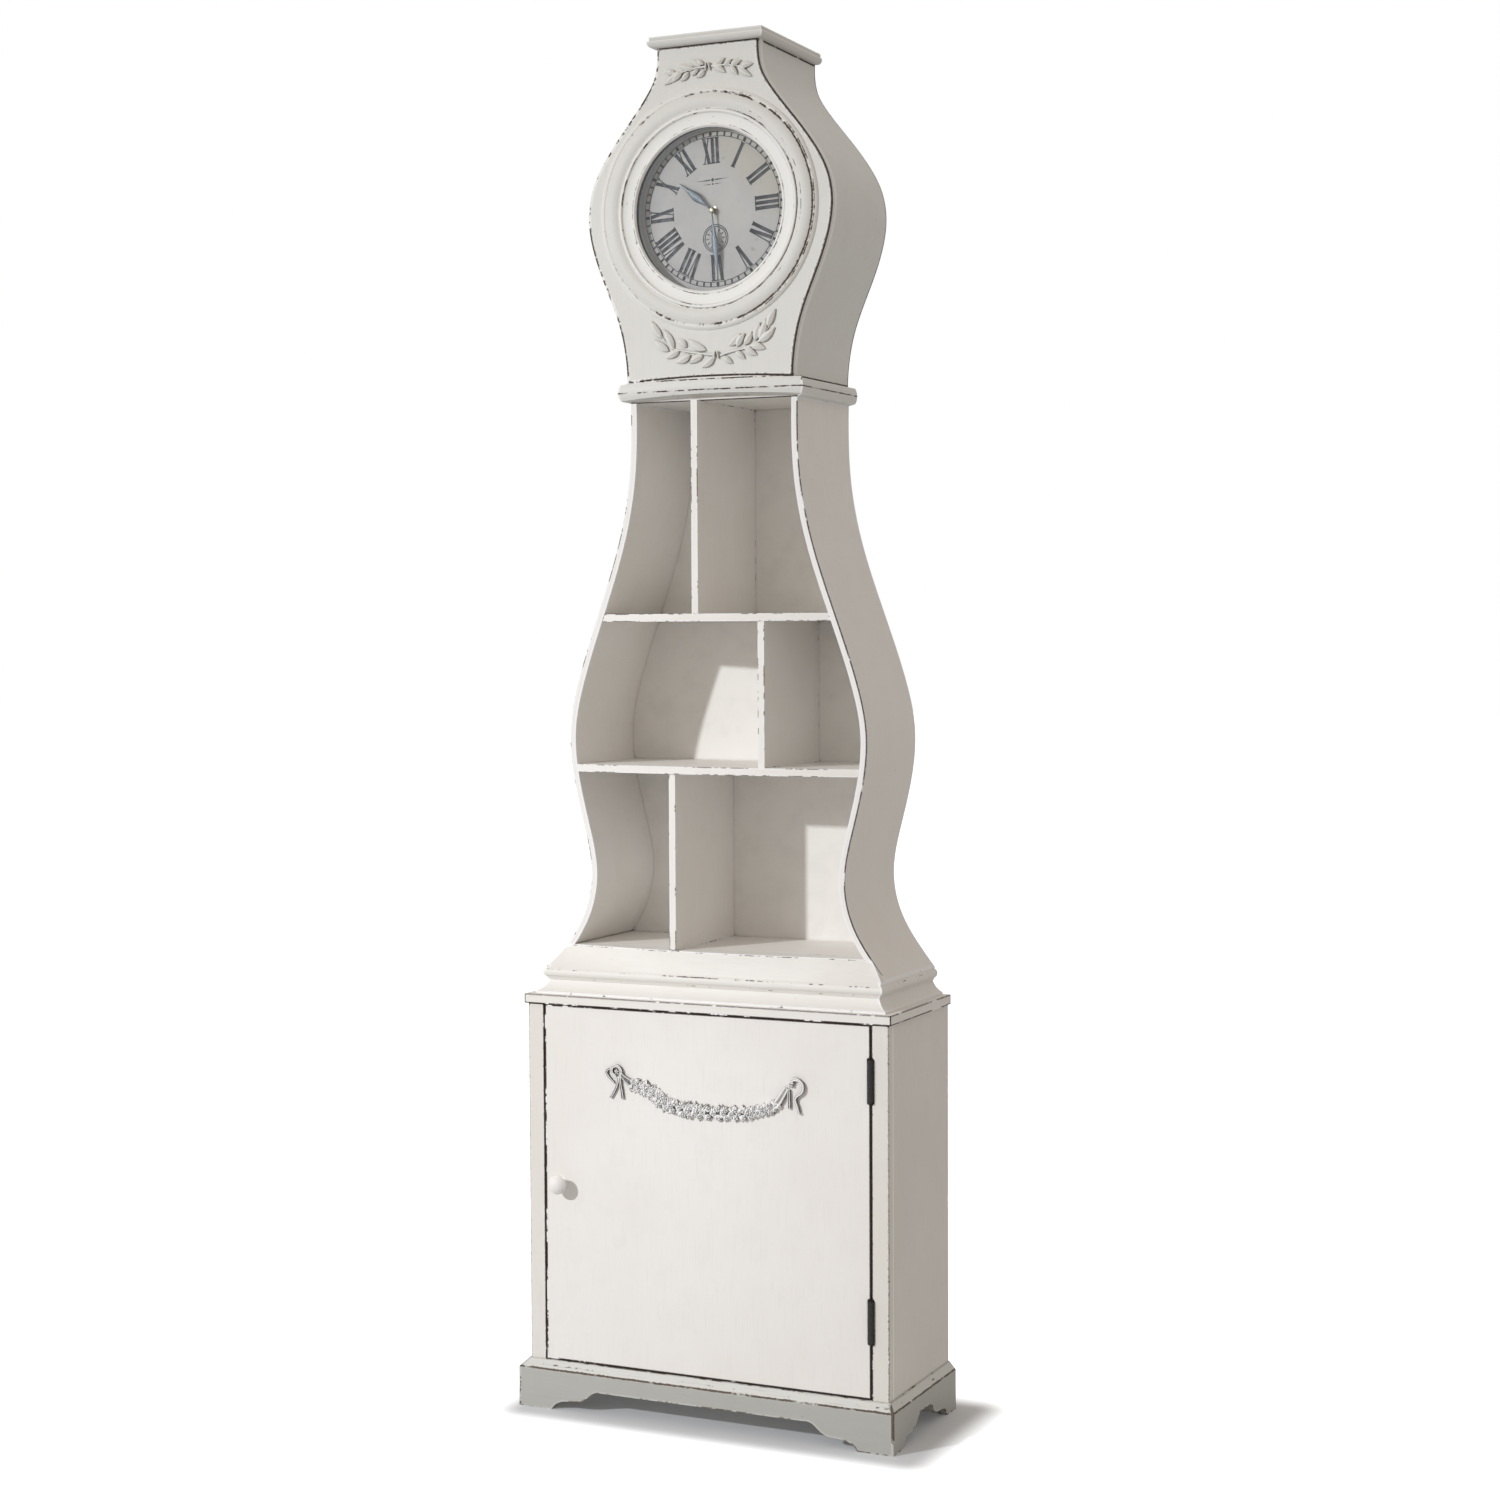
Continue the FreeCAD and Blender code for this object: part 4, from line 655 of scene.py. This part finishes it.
def ring_faces(spans, count):
    """Faces between rings of equally many points."""
    faces = []
    for i in range(spans):
        for j in range(count):
            k = (j + 1) % count
            faces.append((i * count + j, i * count + k, (i + 1) * count + k, (i + 1) * count + j))
    return faces


def lofted(solid, rows):
    """Closed body through rows of equally many points, each row a loop."""
    count = len(rows[0])
    faces = ring_faces(len(rows) - 1, count)
    faces.append(tuple(range(count))[::-1])
    faces.append(tuple((len(rows) - 1) * count + j for j in range(count)))
    solid.add([point for row in rows for point in row], faces)


def rightward(path, i):
    """Direction to the right of the path at its point i, in the plane of the front."""
    before, after = path[max(i - 1, 0)], path[min(i + 1, len(path) - 1)]
    along = Vector((after[0] - before[0], 0.0, after[1] - before[1])).normalized()
    return Vector((along.z, 0.0, -along.x))


# Cross-section of a leaf: share of half its width, share of its height
leaf_profile = [(-1.0, 0.0), (-0.97, 0.5), (-0.6, 0.66), (-0.2, 0.80), (0.0, 1.0), (0.2, 0.80), (0.6, 0.66),
                (0.97, 0.5), (1.0, 0.0)]


def leaf(solid, base, tip, width, height, face_y, bend=0.0, lift=0.0):
    """Pointed leaf with a raised midrib, lying on the plane face_y. Base and tip are (x, z)."""
    start, end = Vector((base[0], 0.0, base[1])), Vector((tip[0], 0.0, tip[1]))
    along = end - start
    side = Vector((along.z, 0.0, -along.x)).normalized()
    middle = (start + end) / 2 + side * bend * along.length
    rows = []
    for i in range(9):
        t = i / 8
        centre = bezier(start, middle * 2 - (start + end) / 2, end, t)
        half = width / 2 * max(math.sin(math.pi * t ** 0.8) ** 0.75, 0.06 if t < 1 else 0.02)
        crown = height * (0.55 + 0.45 * math.sin(math.pi * min(t * 1.15, 1.0)))
        rise = lift * t
        row = []
        for v, h in leaf_profile:
            out = h * crown + (rise if h else 0.0)
            row.append(centre + side * half * v + Vector((0.0, face_y - out, 0.0)))
        rows.append(row)
    lofted(solid, rows)


def stem(solid, path, width, height, face_y):
    """Half round strip along the points, thinner towards its end."""
    rows = []
    for i, (x, z) in enumerate(path):
        side = rightward(path, i)
        size = 1.0 - 0.5 * i / (len(path) - 1)
        row = []
        for j in range(7):
            turn = math.pi * j / 6
            crest = Vector((x, face_y - height * size * math.sin(turn), z))
            row.append(crest - side * width / 2 * size * math.cos(turn))
        rows.append(row)
    lofted(solid, rows)


def ribbon(solid, path, widths, height, face_y, fold):
    """Flat ribbon with a shallow fold along its middle."""
    profile = [(-1.0, 0.0), (-0.96, 0.9), (-0.5, 1.0), (0.0, 1.0 - fold), (0.5, 1.0), (0.96, 0.9), (1.0, 0.0)]
    rows = []
    for i, (x, z) in enumerate(path):
        side = rightward(path, i) * widths[i] / 2
        rows.append([Vector((x, face_y - height * h, z)) + side * v for v, h in profile])
    lofted(solid, rows)


def smooth_path(points, steps):
    """Points on a curve through the given ones, Catmull-Rom between each pair."""
    ends = [points[0]] + list(points) + [points[-1]]
    made = []
    for i in range(1, len(ends) - 2):
        a, b, c, d = (Vector(ends[i + k]) for k in (-1, 0, 1, 2))
        for j in range(steps):
            t = j / steps
            made.append((b * 2 + (c - a) * t + (a * 2 - b * 5 + c * 4 - d) * t ** 2
                         + (b * 3 - a - c * 3 + d) * t ** 3) / 2)
    made.append(Vector(points[-1]))
    return [tuple(point) for point in made]


def rosette(solid, x, z, radius, height, face_y, petals, turn, tilt):
    """Small flower with cupped petals round a button, its rim standing on the plane face_y."""
    rings, around = 6, 8 * petals
    points = []
    for i in range(rings + 1):
        share = i / rings
        for j in range(around):
            angle = 2 * math.pi * j / around + turn
            lobe = abs(math.cos(petals * (angle - turn) / 2)) ** 0.6
            reach = radius * share * (0.72 + 0.28 * lobe)
            cup = (0.35 + 0.65 * lobe) * math.sqrt(max(1.0 - share ** 3, 0.0))
            groove = math.exp(-((share - 0.36) / 0.1) ** 2)
            button = 0.55 * max(1.0 - (share / 0.34) ** 2, 0.0) - 0.25 * groove
            rise = height * (0.30 + 0.55 * cup + 0.30 * button) if i < rings else 0.0
            dx, dz = reach * math.cos(angle), reach * math.sin(angle)
            slope = (tilt[0] * dx + tilt[1] * dz) if i < rings else 0.0
            points.append(Vector((x + dx, face_y - max(rise + slope, 0.0), z + dz)))
    rim = tuple(rings * around + j for j in range(around))
    solid.add(points, ring_faces(rings, around) + [rim])


def placer(name):
    """Function that turns millimetres right of the node's middle and above its lowest point into a place."""
    low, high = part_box(name)
    middle = (low.x + high.x) / 2
    return lambda point: (middle + point[0] * MM, low.z + point[1] * MM)


# Laurels: leaves from base to tip, in millimetres right of the carving's middle and above its lowest point
lower_leaves = [((-86, 38), (-103, 64)), ((-67, 20), (-85, 52)), ((-75, 19), (-99, 37)),
                ((-46, 23), (-63, 36)), ((-15, 17), (-46, 35)), ((-58, 18), (-79, 8)), ((-40, 12), (-64, 2)),
                ((-20, 10), (-43, 0)), ((-2, 8), (-23, -7)), ((21, 22), (39, 39)), ((33, 20), (46, 39)),
                ((45, 22), (57, 41)), ((62, 27), (70, 53)), ((68, 29), (79, 58)), ((82, 46), (94, 71)),
                ((67, 25), (93, 45)), ((54, 21), (78, 15)), ((46, 19), (65, 7)), ((31, 13), (46, 2)),
                ((12, 8), (27, -3))]
lower_stems = [[(-1, 10), (-23, 13), (-41, 16), (-56, 19), (-68, 22), (-78, 30), (-88, 42)],
               [(6, 9), (26, 14), (44, 17), (59, 22), (69, 28), (77, 37), (86, 50)]]
upper_leaves = [((-7, 37), (-18, 46)), ((-12, 35), (-28, 45)), ((-22, 33), (-48, 40)),
                ((-52, 29), (-70, 32)), ((-47, 31), (-71, 14)), ((-41, 29), (-60, 16)),
                ((-31, 29), (-44, 17)), ((-15, 31), (-26, 23)), ((-5, 29), (-20, 20)), ((7, 34), (26, 44)),
                ((8, 34), (27, 23)), ((25, 33), (37, 41)), ((35, 32), (52, 38)), ((36, 32), (46, 18)),
                ((50, 28), (70, 32)), ((46, 30), (68, 14))]
upper_stems = [[(-3, 34), (-22, 33), (-40, 30), (-52, 26)], [(4, 34), (25, 34), (45, 31), (58, 27)]]


def laurel(name, replaced, leaves, stems, width, tie_place):
    """Spray of leaves on two stems, tied at the given place."""
    place = placer(replaced)
    solid = Solid()
    for path in stems:
        stem(solid, smooth_path([place(point) for point in path], 4), 4.4 * MM, 4.0 * MM, head_face_y)
    for i, (base, tip) in enumerate(leaves):
        length = math.dist(base, tip)
        bend = 0.05 if i % 2 else -0.05
        leaf(solid, place(base), place(tip), min(width, length * 0.5) * MM, 7.0 * MM, head_face_y, bend)
    x, z = place(tie_place)
    for dx, lean in ((-2.6, 1.2), (2.6, -1.0)):
        tie = [(x + (dx + lean) * MM, z + 6.5 * MM), (x + dx * MM, z), (x + (dx - lean) * MM, z - 6.5 * MM)]
        stem(solid, tie, 4.4 * MM, 7.5 * MM, head_face_y)
    return solid.piece(name, laurel_paint, "case", replaced, 1)


laurel("laurel_lower_carved", "laurel_lower", lower_leaves, lower_stems, 12.0, (1, 10))
laurel("laurel_upper_carved", "laurel_upper", upper_leaves, upper_stems, 9.5, (-1, 34))

# Garland: its rope from left to right, in millimetres right of the middle and above the lowest point
rope_line = [(-122, 46), (-108, 43), (-92, 37), (-74, 26), (-46, 16), (-13, 13), (24, 14), (57, 16), (80, 20),
             (98, 26), (112, 35)]
rope_thickness = 26.0 * MM
rope_height = 3.5 * MM
# Ranges for its leaves and flowers, in millimetres and radians
leaf_length = (9.0, 14.0)
leaf_root = (1.0, 4.0)
leaf_width = (5.5, 8.0)
leaf_height = (4.5, 6.5)
leaf_swing = (-0.9, 0.9)
leaf_bend = (-0.2, 0.2)
flower_radius = (4.6, 6.4)
flower_height = 8.0
flower_rise = (-1.5, 0.5)
flower_shift = (-1.5, 1.5)
flower_turn = (0.0, 1.2)
flower_tilt = (-0.3, 0.3)

# Bows at its ends: points as above, the width where the ribbon starts and ends, its height and its fold
bows = [([(-140, 57), (-138, 65), (-144, 71.5), (-152, 69), (-153, 61), (-146, 56)], 4.4, 4.4, 6.5, 0.5),
        ([(-152, 68), (-160, 66), (-163, 60), (-157, 52), (-150, 46)], 4.6, 3.6, 5.0, 0.5),
        ([(-143, 56), (-145, 45), (-150, 34), (-157, 23)], 3.6, 4.2, 4.6, 0.5),
        ([(-140.5, 57), (-140, 46), (-138, 34), (-136.5, 23)], 4.0, 5.4, 4.6, 0.5),
        ([(-141, 61), (-134, 55), (-127, 50), (-119, 45)], 5.0, 14.0, 5.2, 0.6),
        ([(129, 61), (134, 69), (143, 71), (151, 64), (150, 54), (142, 48), (139, 42), (142, 33),
          (145.5, 22)], 5.2, 4.6, 6.8, 0.45),
        ([(129, 57), (129.5, 43), (130, 28)], 4.6, 5.0, 5.0, 0.5),
        ([(107, 30), (114, 38), (120, 47), (127, 58)], 13.0, 8.0, 6.5, 0.6)]


def swell(share):
    """Thickness of the rope along its length, as a share of the thickest."""
    return 0.74 + 0.26 * math.sin(math.pi * min(share * 1.25, 1.0)) ** 0.8 if share < 0.8 else 0.74


def garland():
    """Rope of leaves and flowers between two bows."""
    place = placer("door_garland")
    random.seed(11)
    solid = Solid()
    line = smooth_path([place(point) for point in rope_line], 5)
    count = len(line) - 1
    rows = []
    for i, (x, z) in enumerate(line):
        side = rightward(line, i)
        half = rope_thickness / 2 * swell(i / count)
        rows.append([Vector((x, door_face_y - rope_height * math.sin(math.pi * j / 8), z))
                     - side * half * 0.7 * math.cos(math.pi * j / 8) for j in range(9)])
    lofted(solid, rows)
    for i in range(1, count):
        x, z = line[i]
        along = (Vector(line[i + 1]) - Vector(line[i - 1])).normalized()
        across = Vector((-along.y, along.x))
        size = swell(i / count)
        for lane in (-1, 1):
            angle = math.atan2(across.y, across.x) + random.uniform(*leaf_swing)
            angle += 0.0 if lane > 0 else math.pi
            length = random.uniform(*leaf_length) * size * MM
            root = Vector((x, z)) + across * lane * random.uniform(*leaf_root) * size * MM
            tip = root + Vector((math.cos(angle), math.sin(angle))) * length
            leaf(solid, root, tip, random.uniform(*leaf_width) * MM, random.uniform(*leaf_height) * MM,
                 door_face_y, random.uniform(*leaf_bend), -0.8 * MM)
        if i % 2:
            lanes = (-0.55, 0.5)
        else:
            lanes = (random.uniform(-0.1, 0.1),)
        for lane in lanes:
            spot = Vector((x, z)) + across * lane * rope_thickness / 2 * size
            spot += along * random.uniform(*flower_shift) * MM
            rosette(solid, spot.x, spot.y, random.uniform(*flower_radius) * size * MM,
                    (flower_height + random.uniform(*flower_rise)) * MM, door_face_y,
                    random.choice((4, 5, 5)), random.uniform(*flower_turn),
                    (random.uniform(*flower_tilt), random.uniform(*flower_tilt)))

    for points, first, last, height, fold in bows:
        curve = smooth_path([place(point) for point in points], 4)
        widths = [(first + (last - first) * i / (len(curve) - 1)) * MM for i in range(len(curve))]
        ribbon(solid, curve, widths, height * MM, door_face_y, fold)
    for point, radius in (((-145, 63), 4.6), ((132.5, 64.5), 6.4)):
        x, z = place(point)
        rosette(solid, x, z, radius * MM, 8.0 * MM, door_face_y, 5, 0.3, (0.0, 0.0))
    return solid.piece("garland_carved", garland_paint, "door", "door_garland", 1)


garland()

# Bezel

def bead(radius, width, base, height):
    """Half round of a section, from its outer side inwards."""
    turns = [math.pi * k / 6 for k in range(7)]
    return [(radius + width * math.cos(turn), base + height * math.sin(turn)) for turn in turns]


def bezel_section():
    """Loop of (radius, height over the head's face) in millimetres.

    It is a bead at the rim, a wide hollow that runs in towards the glass, and a fine bead at its edge.
    """
    turns = [math.pi * k / 24 for k in range(13)]
    hollow = [(120.6 + 15.7 * math.cos(turn), 5.1 - 4.1 * math.sin(turn)) for turn in turns]
    lip = [(117.2, 0.8), (115.9, -1.2), (115.7, -1.5), (115.7, -2.0), (115.9, -2.0), (120.3, -2.0),
           (120.5, -2.0), (120.5, -1.8), (120.5, -0.2), (120.7, 0.0), (140.3, 0.0)]
    side = [(140.5, 0.0), (140.5, 0.2), (140.5, 5.0)]
    return side + bead(138.4, 1.8, 5.4, 0.9) + hollow + bead(118.9, 1.5, 1.0, 0.9) + lip


def bezel(steps=144):
    """Ring turned about the dial's axis."""
    section = bezel_section()
    count = len(section)
    points = []
    faces = []
    for i in range(steps):
        angle = 2 * math.pi * i / steps
        for radius, height in section:
            points.append(Vector((dial_x + radius * MM * math.cos(angle), head_face_y - height * MM,
                                  dial_z + radius * MM * math.sin(angle))))
        after = (i + 1) % steps
        for j in range(count):
            k = (j + 1) % count
            faces.append((i * count + j, after * count + j, after * count + k, i * count + k))
    solid = Solid()
    solid.add(points, faces)
    return solid.piece("bezel_turned", bezel_paint, "case", "dial_bezel")


bezel()

# Printed dial
print_lift = 0.12 * MM
print_thickness = 0.05 * MM
print_turn = math.radians(-3.0)
print_rise = 2.4 * MM
numerals = ["XII", "I", "II", "III", "IV", "V", "VI", "VII", "VIII", "IX", "X", "XI"]
numeral_radius = 83.5 * MM
numeral_height = 36.0 * MM
letter_widths = {"I": 7.4 * MM, "V": 12.6 * MM, "X": 12.2 * MM}
thick_stroke = 5.1 * MM
thin_stroke = 1.9 * MM
serif = 1.7 * MM
track_inner = 104.0 * MM
track_outer = 110.5 * MM
track_line = 1.0 * MM
track_block = 2.8 * MM
minute_dot = 2.5 * MM
small_ring_place = (0.0, -41.6 * MM)
small_ring_radii = (19.5 * MM, 16.8 * MM)
small_ring_line = 1.5 * MM
small_tick_radius = 12.6 * MM


def turned(outline, angle, radius):
    """Outline moved out by the radius and turned clockwise by the angle."""
    made = []
    for u, v in outline:
        v += radius
        made.append((u * math.cos(angle) + v * math.sin(angle), v * math.cos(angle) - u * math.sin(angle)))
    return made


def rectangle(u, v, half_width, half_height):
    return [(u - half_width, v - half_height), (u + half_width, v - half_height),
            (u + half_width, v + half_height), (u - half_width, v + half_height)]


def printed(solid, outline):
    """Flat convex outline of (right, up) points, as a thin slab over the dial and a little askew."""
    count = len(outline)
    front = [Vector((dial_x + u, dial_face_y - print_lift, dial_z + print_rise + v))
             for u, v in turned(outline, print_turn, 0.0)]
    rear = [point + Vector((0.0, print_thickness, 0.0)) for point in front]
    sides = [(i, (i + 1) % count, count + (i + 1) % count, count + i) for i in range(count)]
    solid.add(front + rear, [tuple(range(count)), tuple(range(2 * count - 1, count - 1, -1))] + sides)


def letter_strokes(letter, left, height):
    """Outlines of one Roman letter that starts at left, as high above zero as below it."""
    width = letter_widths[letter]
    middle = left + width / 2
    foot, head = -height / 2, height / 2

    def bar(u0, u1, thickness):
        half = thickness / 2
        return [(u0 - half, foot), (u0 + half, foot), (u1 + half, head), (u1 - half, head)]

    def cap(u, v, share):
        return rectangle(u, v, width * share, serif / 2)

    if letter == "I":
        return [bar(middle, middle, thick_stroke), cap(middle, foot, 0.48), cap(middle, head, 0.48)]
    inset = thick_stroke * 0.5
    near, far = left + inset, left + width - inset
    caps = [cap(near, head, 0.26), cap(far, head, 0.22)]
    if letter == "V":
        return [bar(middle, near, thick_stroke), bar(middle + thin_stroke, far, thin_stroke)] + caps
    caps += [cap(near, foot, 0.22), cap(far, foot, 0.26)]
    return [bar(far, near, thick_stroke), bar(near, far, thin_stroke)] + caps


def dial_numerals():
    solid = Solid()
    for hour, numeral in enumerate(numerals):
        left = -sum(letter_widths[letter] for letter in numeral) / 2
        for letter in numeral:
            for outline in letter_strokes(letter, left, numeral_height):
                printed(solid, turned(outline, math.radians(30 * hour), numeral_radius))
            left += letter_widths[letter]
    return solid.piece("dial_numerals", ink, "case")


def printed_circle(solid, radius, line, across=0.0, up=0.0, steps=120):
    inner, outer = radius - line / 2, radius + line / 2
    for i in range(steps):
        a, b = 2 * math.pi * i / steps, 2 * math.pi * (i + 1) / steps
        corners = [(inner, a), (outer, a), (outer, b), (inner, b)]
        printed(solid, [(across + r * math.sin(t), up + r * math.cos(t)) for r, t in corners])


def dial_track():
    """Two circles with a block at each minute and a dot at each fifth."""
    solid = Solid()
    for radius in (track_inner, track_outer):
        printed_circle(solid, radius, track_line)
    gap = (track_outer - track_inner) / 2
    middle = (track_inner + track_outer) / 2
    turns = [k * math.pi / 6 for k in range(12)]
    for minute in range(60):
        angle = math.radians(6 * minute)
        printed(solid, turned(rectangle(0.0, 0.0, track_block / 2, gap), angle, middle))
        if minute % 5 == 0:
            dot = [(minute_dot * math.sin(turn), minute_dot * math.cos(turn)) for turn in turns]
            printed(solid, turned(dot, angle, middle))
    return solid.piece("dial_minute_track", ink, "case")


def dial_ornament():
    """Plain double ring with ticks below the centre and a small drawn flourish above it."""
    solid = Solid()
    across, up = small_ring_place
    for radius in small_ring_radii:
        printed_circle(solid, radius, small_ring_line, across, up, steps=60)
    for i in range(12):
        tick = turned(rectangle(0.0, 0.0, 0.8 * MM, 2.2 * MM), math.radians(30 * i), small_tick_radius)
        printed(solid, [(u + across, v + up) for u, v in tick])
    for side in (-1, 1):
        for start, end, rise, thickness in ((4.0, 27.0, 42.0, 2.0), (4.0, 16.0, 36.0, 1.4)):
            outline = [(side * start * MM, (rise - thickness / 2) * MM), (side * end * MM, rise * MM),
                       (side * start * MM, (rise + thickness / 2) * MM)]
            printed(solid, outline if side > 0 else outline[::-1])
    for size, rise in ((3.0, 42.0), (1.8, 36.0)):
        printed(solid, [(0.0, (rise - size) * MM), (size * MM, rise * MM), (0.0, (rise + size) * MM),
                        (-size * MM, rise * MM)])
    return solid.piece("dial_ornament", ink, "case")


dial_numerals()
dial_track()
dial_ornament()

# Hands: length, width and radius of the boss as in the solids, and the angle clockwise from the top
hour_hand_shape = (67.0 * MM, 12.0 * MM, 5.0 * MM, math.radians(308.5))
minute_hand_shape = (101.0 * MM, 10.0 * MM, 4.2 * MM, math.radians(174.5))
hand_sheet = 0.6 * MM
hand_crown = 0.5 * MM
# Outline of a hand: share of its length, share of half its width
hand_shares = [(0.03, 0.26), (0.16, 0.20), (0.28, 0.46), (0.40, 0.90), (0.47, 1.0), (0.56, 0.92),
               (0.70, 0.58), (0.84, 0.28), (0.94, 0.15), (1.0, 0.04)]
# Cap of the arbor: radius, rise
cap_profile = [(3.0 * MM, 0.0), (3.4 * MM, 0.5 * MM), (3.3 * MM, 1.3 * MM), (2.7 * MM, 2.1 * MM),
               (1.7 * MM, 2.6 * MM), (0.6 * MM, 2.8 * MM)]


def rounded_disc(solid, profile, y, steps=24):
    """Turned form about the dial's axis. The profile is (radius, rise towards the viewer)."""
    turns = [2 * math.pi * i / steps for i in range(steps)]
    lofted(solid, [[Vector((dial_x + radius * math.cos(turn), y - rise, dial_z + radius * math.sin(turn)))
                    for turn in turns] for radius, rise in profile])


def hand(name, replaced, body, shape):
    """Hand of pressed sheet with a ridge along its leaf and a round boss."""
    length, width, boss, angle = shape
    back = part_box(replaced)[1].y
    solid = Solid()
    rim, shoulder = hand_sheet * 0.7, hand_sheet + hand_crown * 0.3
    rows = []
    for along, share in hand_shares:
        ridge = hand_sheet + hand_crown * max(share, 0.3)
        row = []
        for across, rise in ((-1.0, 0.0), (-1.0, rim), (-0.5, shoulder), (0.0, ridge), (0.5, shoulder),
                             (1.0, rim), (1.0, 0.0)):
            u, v = across * share * width / 2, along * length
            row.append(Vector((dial_x + u * math.cos(angle) + v * math.sin(angle), back - rise,
                               dial_z + v * math.cos(angle) - u * math.sin(angle))))
        rows.append(row)
    lofted(solid, rows)
    rounded_disc(solid, [(boss, 0.0), (boss, hand_sheet * 0.8), (boss * 0.9, hand_sheet + 0.2 * MM),
                         (boss * 0.6, hand_sheet + 0.35 * MM)], back)
    return solid.piece(name, hand_steel, body, replaced)


def hand_cap():
    """Domed brass cap over the end of the minute arbor."""
    solid = Solid()
    rounded_disc(solid, cap_profile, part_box("minute_hand")[1].y - hand_sheet)
    return solid.piece("hand_cap", brass, "minute", "minute_hand")


hand("hour_hand_leaf", "hour_hand", "hour", hour_hand_shape)
hand("minute_hand_leaf", "minute_hand", "minute", minute_hand_shape)
hand_cap()

# Floor and light
# Floor glow, cut in a zone round the feet and shifted to the right: a painted shadow
shadow_glow = 0.055
shadow_near = 5.0 * MM
shadow_far = 75.0 * MM
shadow_shift = 22.0 * MM
floor_half = 30.0
world_fill = 0.50
key_azimuth = math.radians(31.7)
key_elevation = math.radians(20.2)
key_distance = 5.0
key_focus = Vector((0.0, 0.0, 0.9))
key_target = Vector((0.0, 0.0, 0.40))
key_size = 0.14
key_power = 22.3
key_spread = math.radians(70.0)


def straight_view(tree):
    """1 for rays from the camera, off gloss or through glass that haven't met a matt surface, else 0."""
    rays = tree.node("ShaderNodeLightPath").outputs
    seen = tree.most(rays["Is Camera Ray"], tree.most(rays["Is Glossy Ray"], rays["Is Transmission Ray"]))
    return tree.times(seen, tree.below(rays["Diffuse Depth"], 0.5))


def beyond(tree, value, middle, half):
    """How far the value is outside the band of the given half width about the middle."""
    return tree.most(tree.minus(tree.calc("ABSOLUTE", tree.minus(value, middle)), half), 0.0)


def white_floor():
    """Pale floor that keeps the object's shadow round its feet and turns plain white further out. Round the
    feet, in a zone shifted to the right, the glow is cut: a painted shadow over the real one, grey even where
    the lamp reaches.
    """
    tree = Tree("white_floor")
    plain = tree.node("ShaderNodeBsdfDiffuse", {"Color": FLOOR_GREY}).outputs[0]
    x, y, _ = tree.split()
    low, high = cad_box
    side = beyond(tree, x, (low.x + high.x) / 2 + shadow_shift, high.x)
    depth = beyond(tree, y, (low.y + high.y) / 2, high.y - (low.y + high.y) / 2)
    away = tree.calc("SQRT", tree.plus(tree.times(side, side), tree.times(depth, depth)))
    lit = tree.times(tree.step(away, shadow_near, shadow_far), 1.0 - shadow_glow)
    strength = tree.times(straight_view(tree), tree.plus(shadow_glow, lit))
    glow = tree.node("ShaderNodeEmission", {"Color": PLAIN_WHITE, "Strength": strength}).outputs[0]
    return tree.end(tree.node("ShaderNodeAddShader", {0: plain, 1: glow}).outputs[0])


def white_world():
    """White to the camera, to gloss and through glass, and a soft even fill for everything else."""
    tree = Tree("studio", "worlds", "ShaderNodeOutputWorld")
    seen = straight_view(tree)
    fill = tree.node("ShaderNodeBackground", {"Color": FILL_LIGHT, "Strength": world_fill}).outputs[0]
    white = tree.node("ShaderNodeBackground", {"Color": PLAIN_WHITE, "Strength": 1.0}).outputs[0]
    return tree.end(tree.node("ShaderNodeMixShader", {0: seen, 1: fill, 2: white}).outputs[0])


def way(azimuth, elevation):
    """Direction from the object towards a place in front of it, turned to the right by the azimuth."""
    flat = math.cos(elevation)
    return Vector((math.sin(azimuth) * flat, -math.cos(azimuth) * flat, math.sin(elevation)))


floor_mesh = bpy.data.meshes.new("floor")
floor_corners = [(x, y, 0) for x, y in rectangle(0.0, 0.0, floor_half, floor_half)]
floor_mesh.from_pydata(floor_corners, [], [(0, 1, 2, 3)])
floor_mesh.materials.append(white_floor())
linked("floor", floor_mesh)

bpy.context.scene.world = white_world()

key_data = bpy.data.lights.new("key", "AREA")
key_data.spread = key_spread
key_data.shape = "RECTANGLE"
key_data.size = key_data.size_y = key_size
key_data.energy = key_power
key_data.color = KEY_LIGHT
key = linked("key", key_data)
key.visible_transmission = False
key.location = key_focus + way(-key_azimuth, key_elevation) * key_distance
key.rotation_mode = "QUATERNION"
key.rotation_quaternion = (key_target - key.location).to_track_quat("-Z", "Y")

camera_data = bpy.data.cameras.new("camera")
camera_data.lens = camera_lens
camera_data.sensor_width = 36.0
camera_data.clip_end = 100.0
camera = linked("camera", camera_data)
back = way(camera_azimuth, camera_elevation)
right = Vector((math.cos(camera_azimuth), math.sin(camera_azimuth), 0.0))
up = back.cross(right)
turned_right = right * math.cos(camera_roll) + up * math.sin(camera_roll)
turned_up = up * math.cos(camera_roll) - right * math.sin(camera_roll)
axes = Matrix((turned_right, turned_up, back)).transposed()
camera.matrix_world = Matrix.Translation(camera_place) @ axes.to_4x4()
bpy.context.scene.camera = camera

bpy.context.scene.view_settings.view_transform = "Standard"
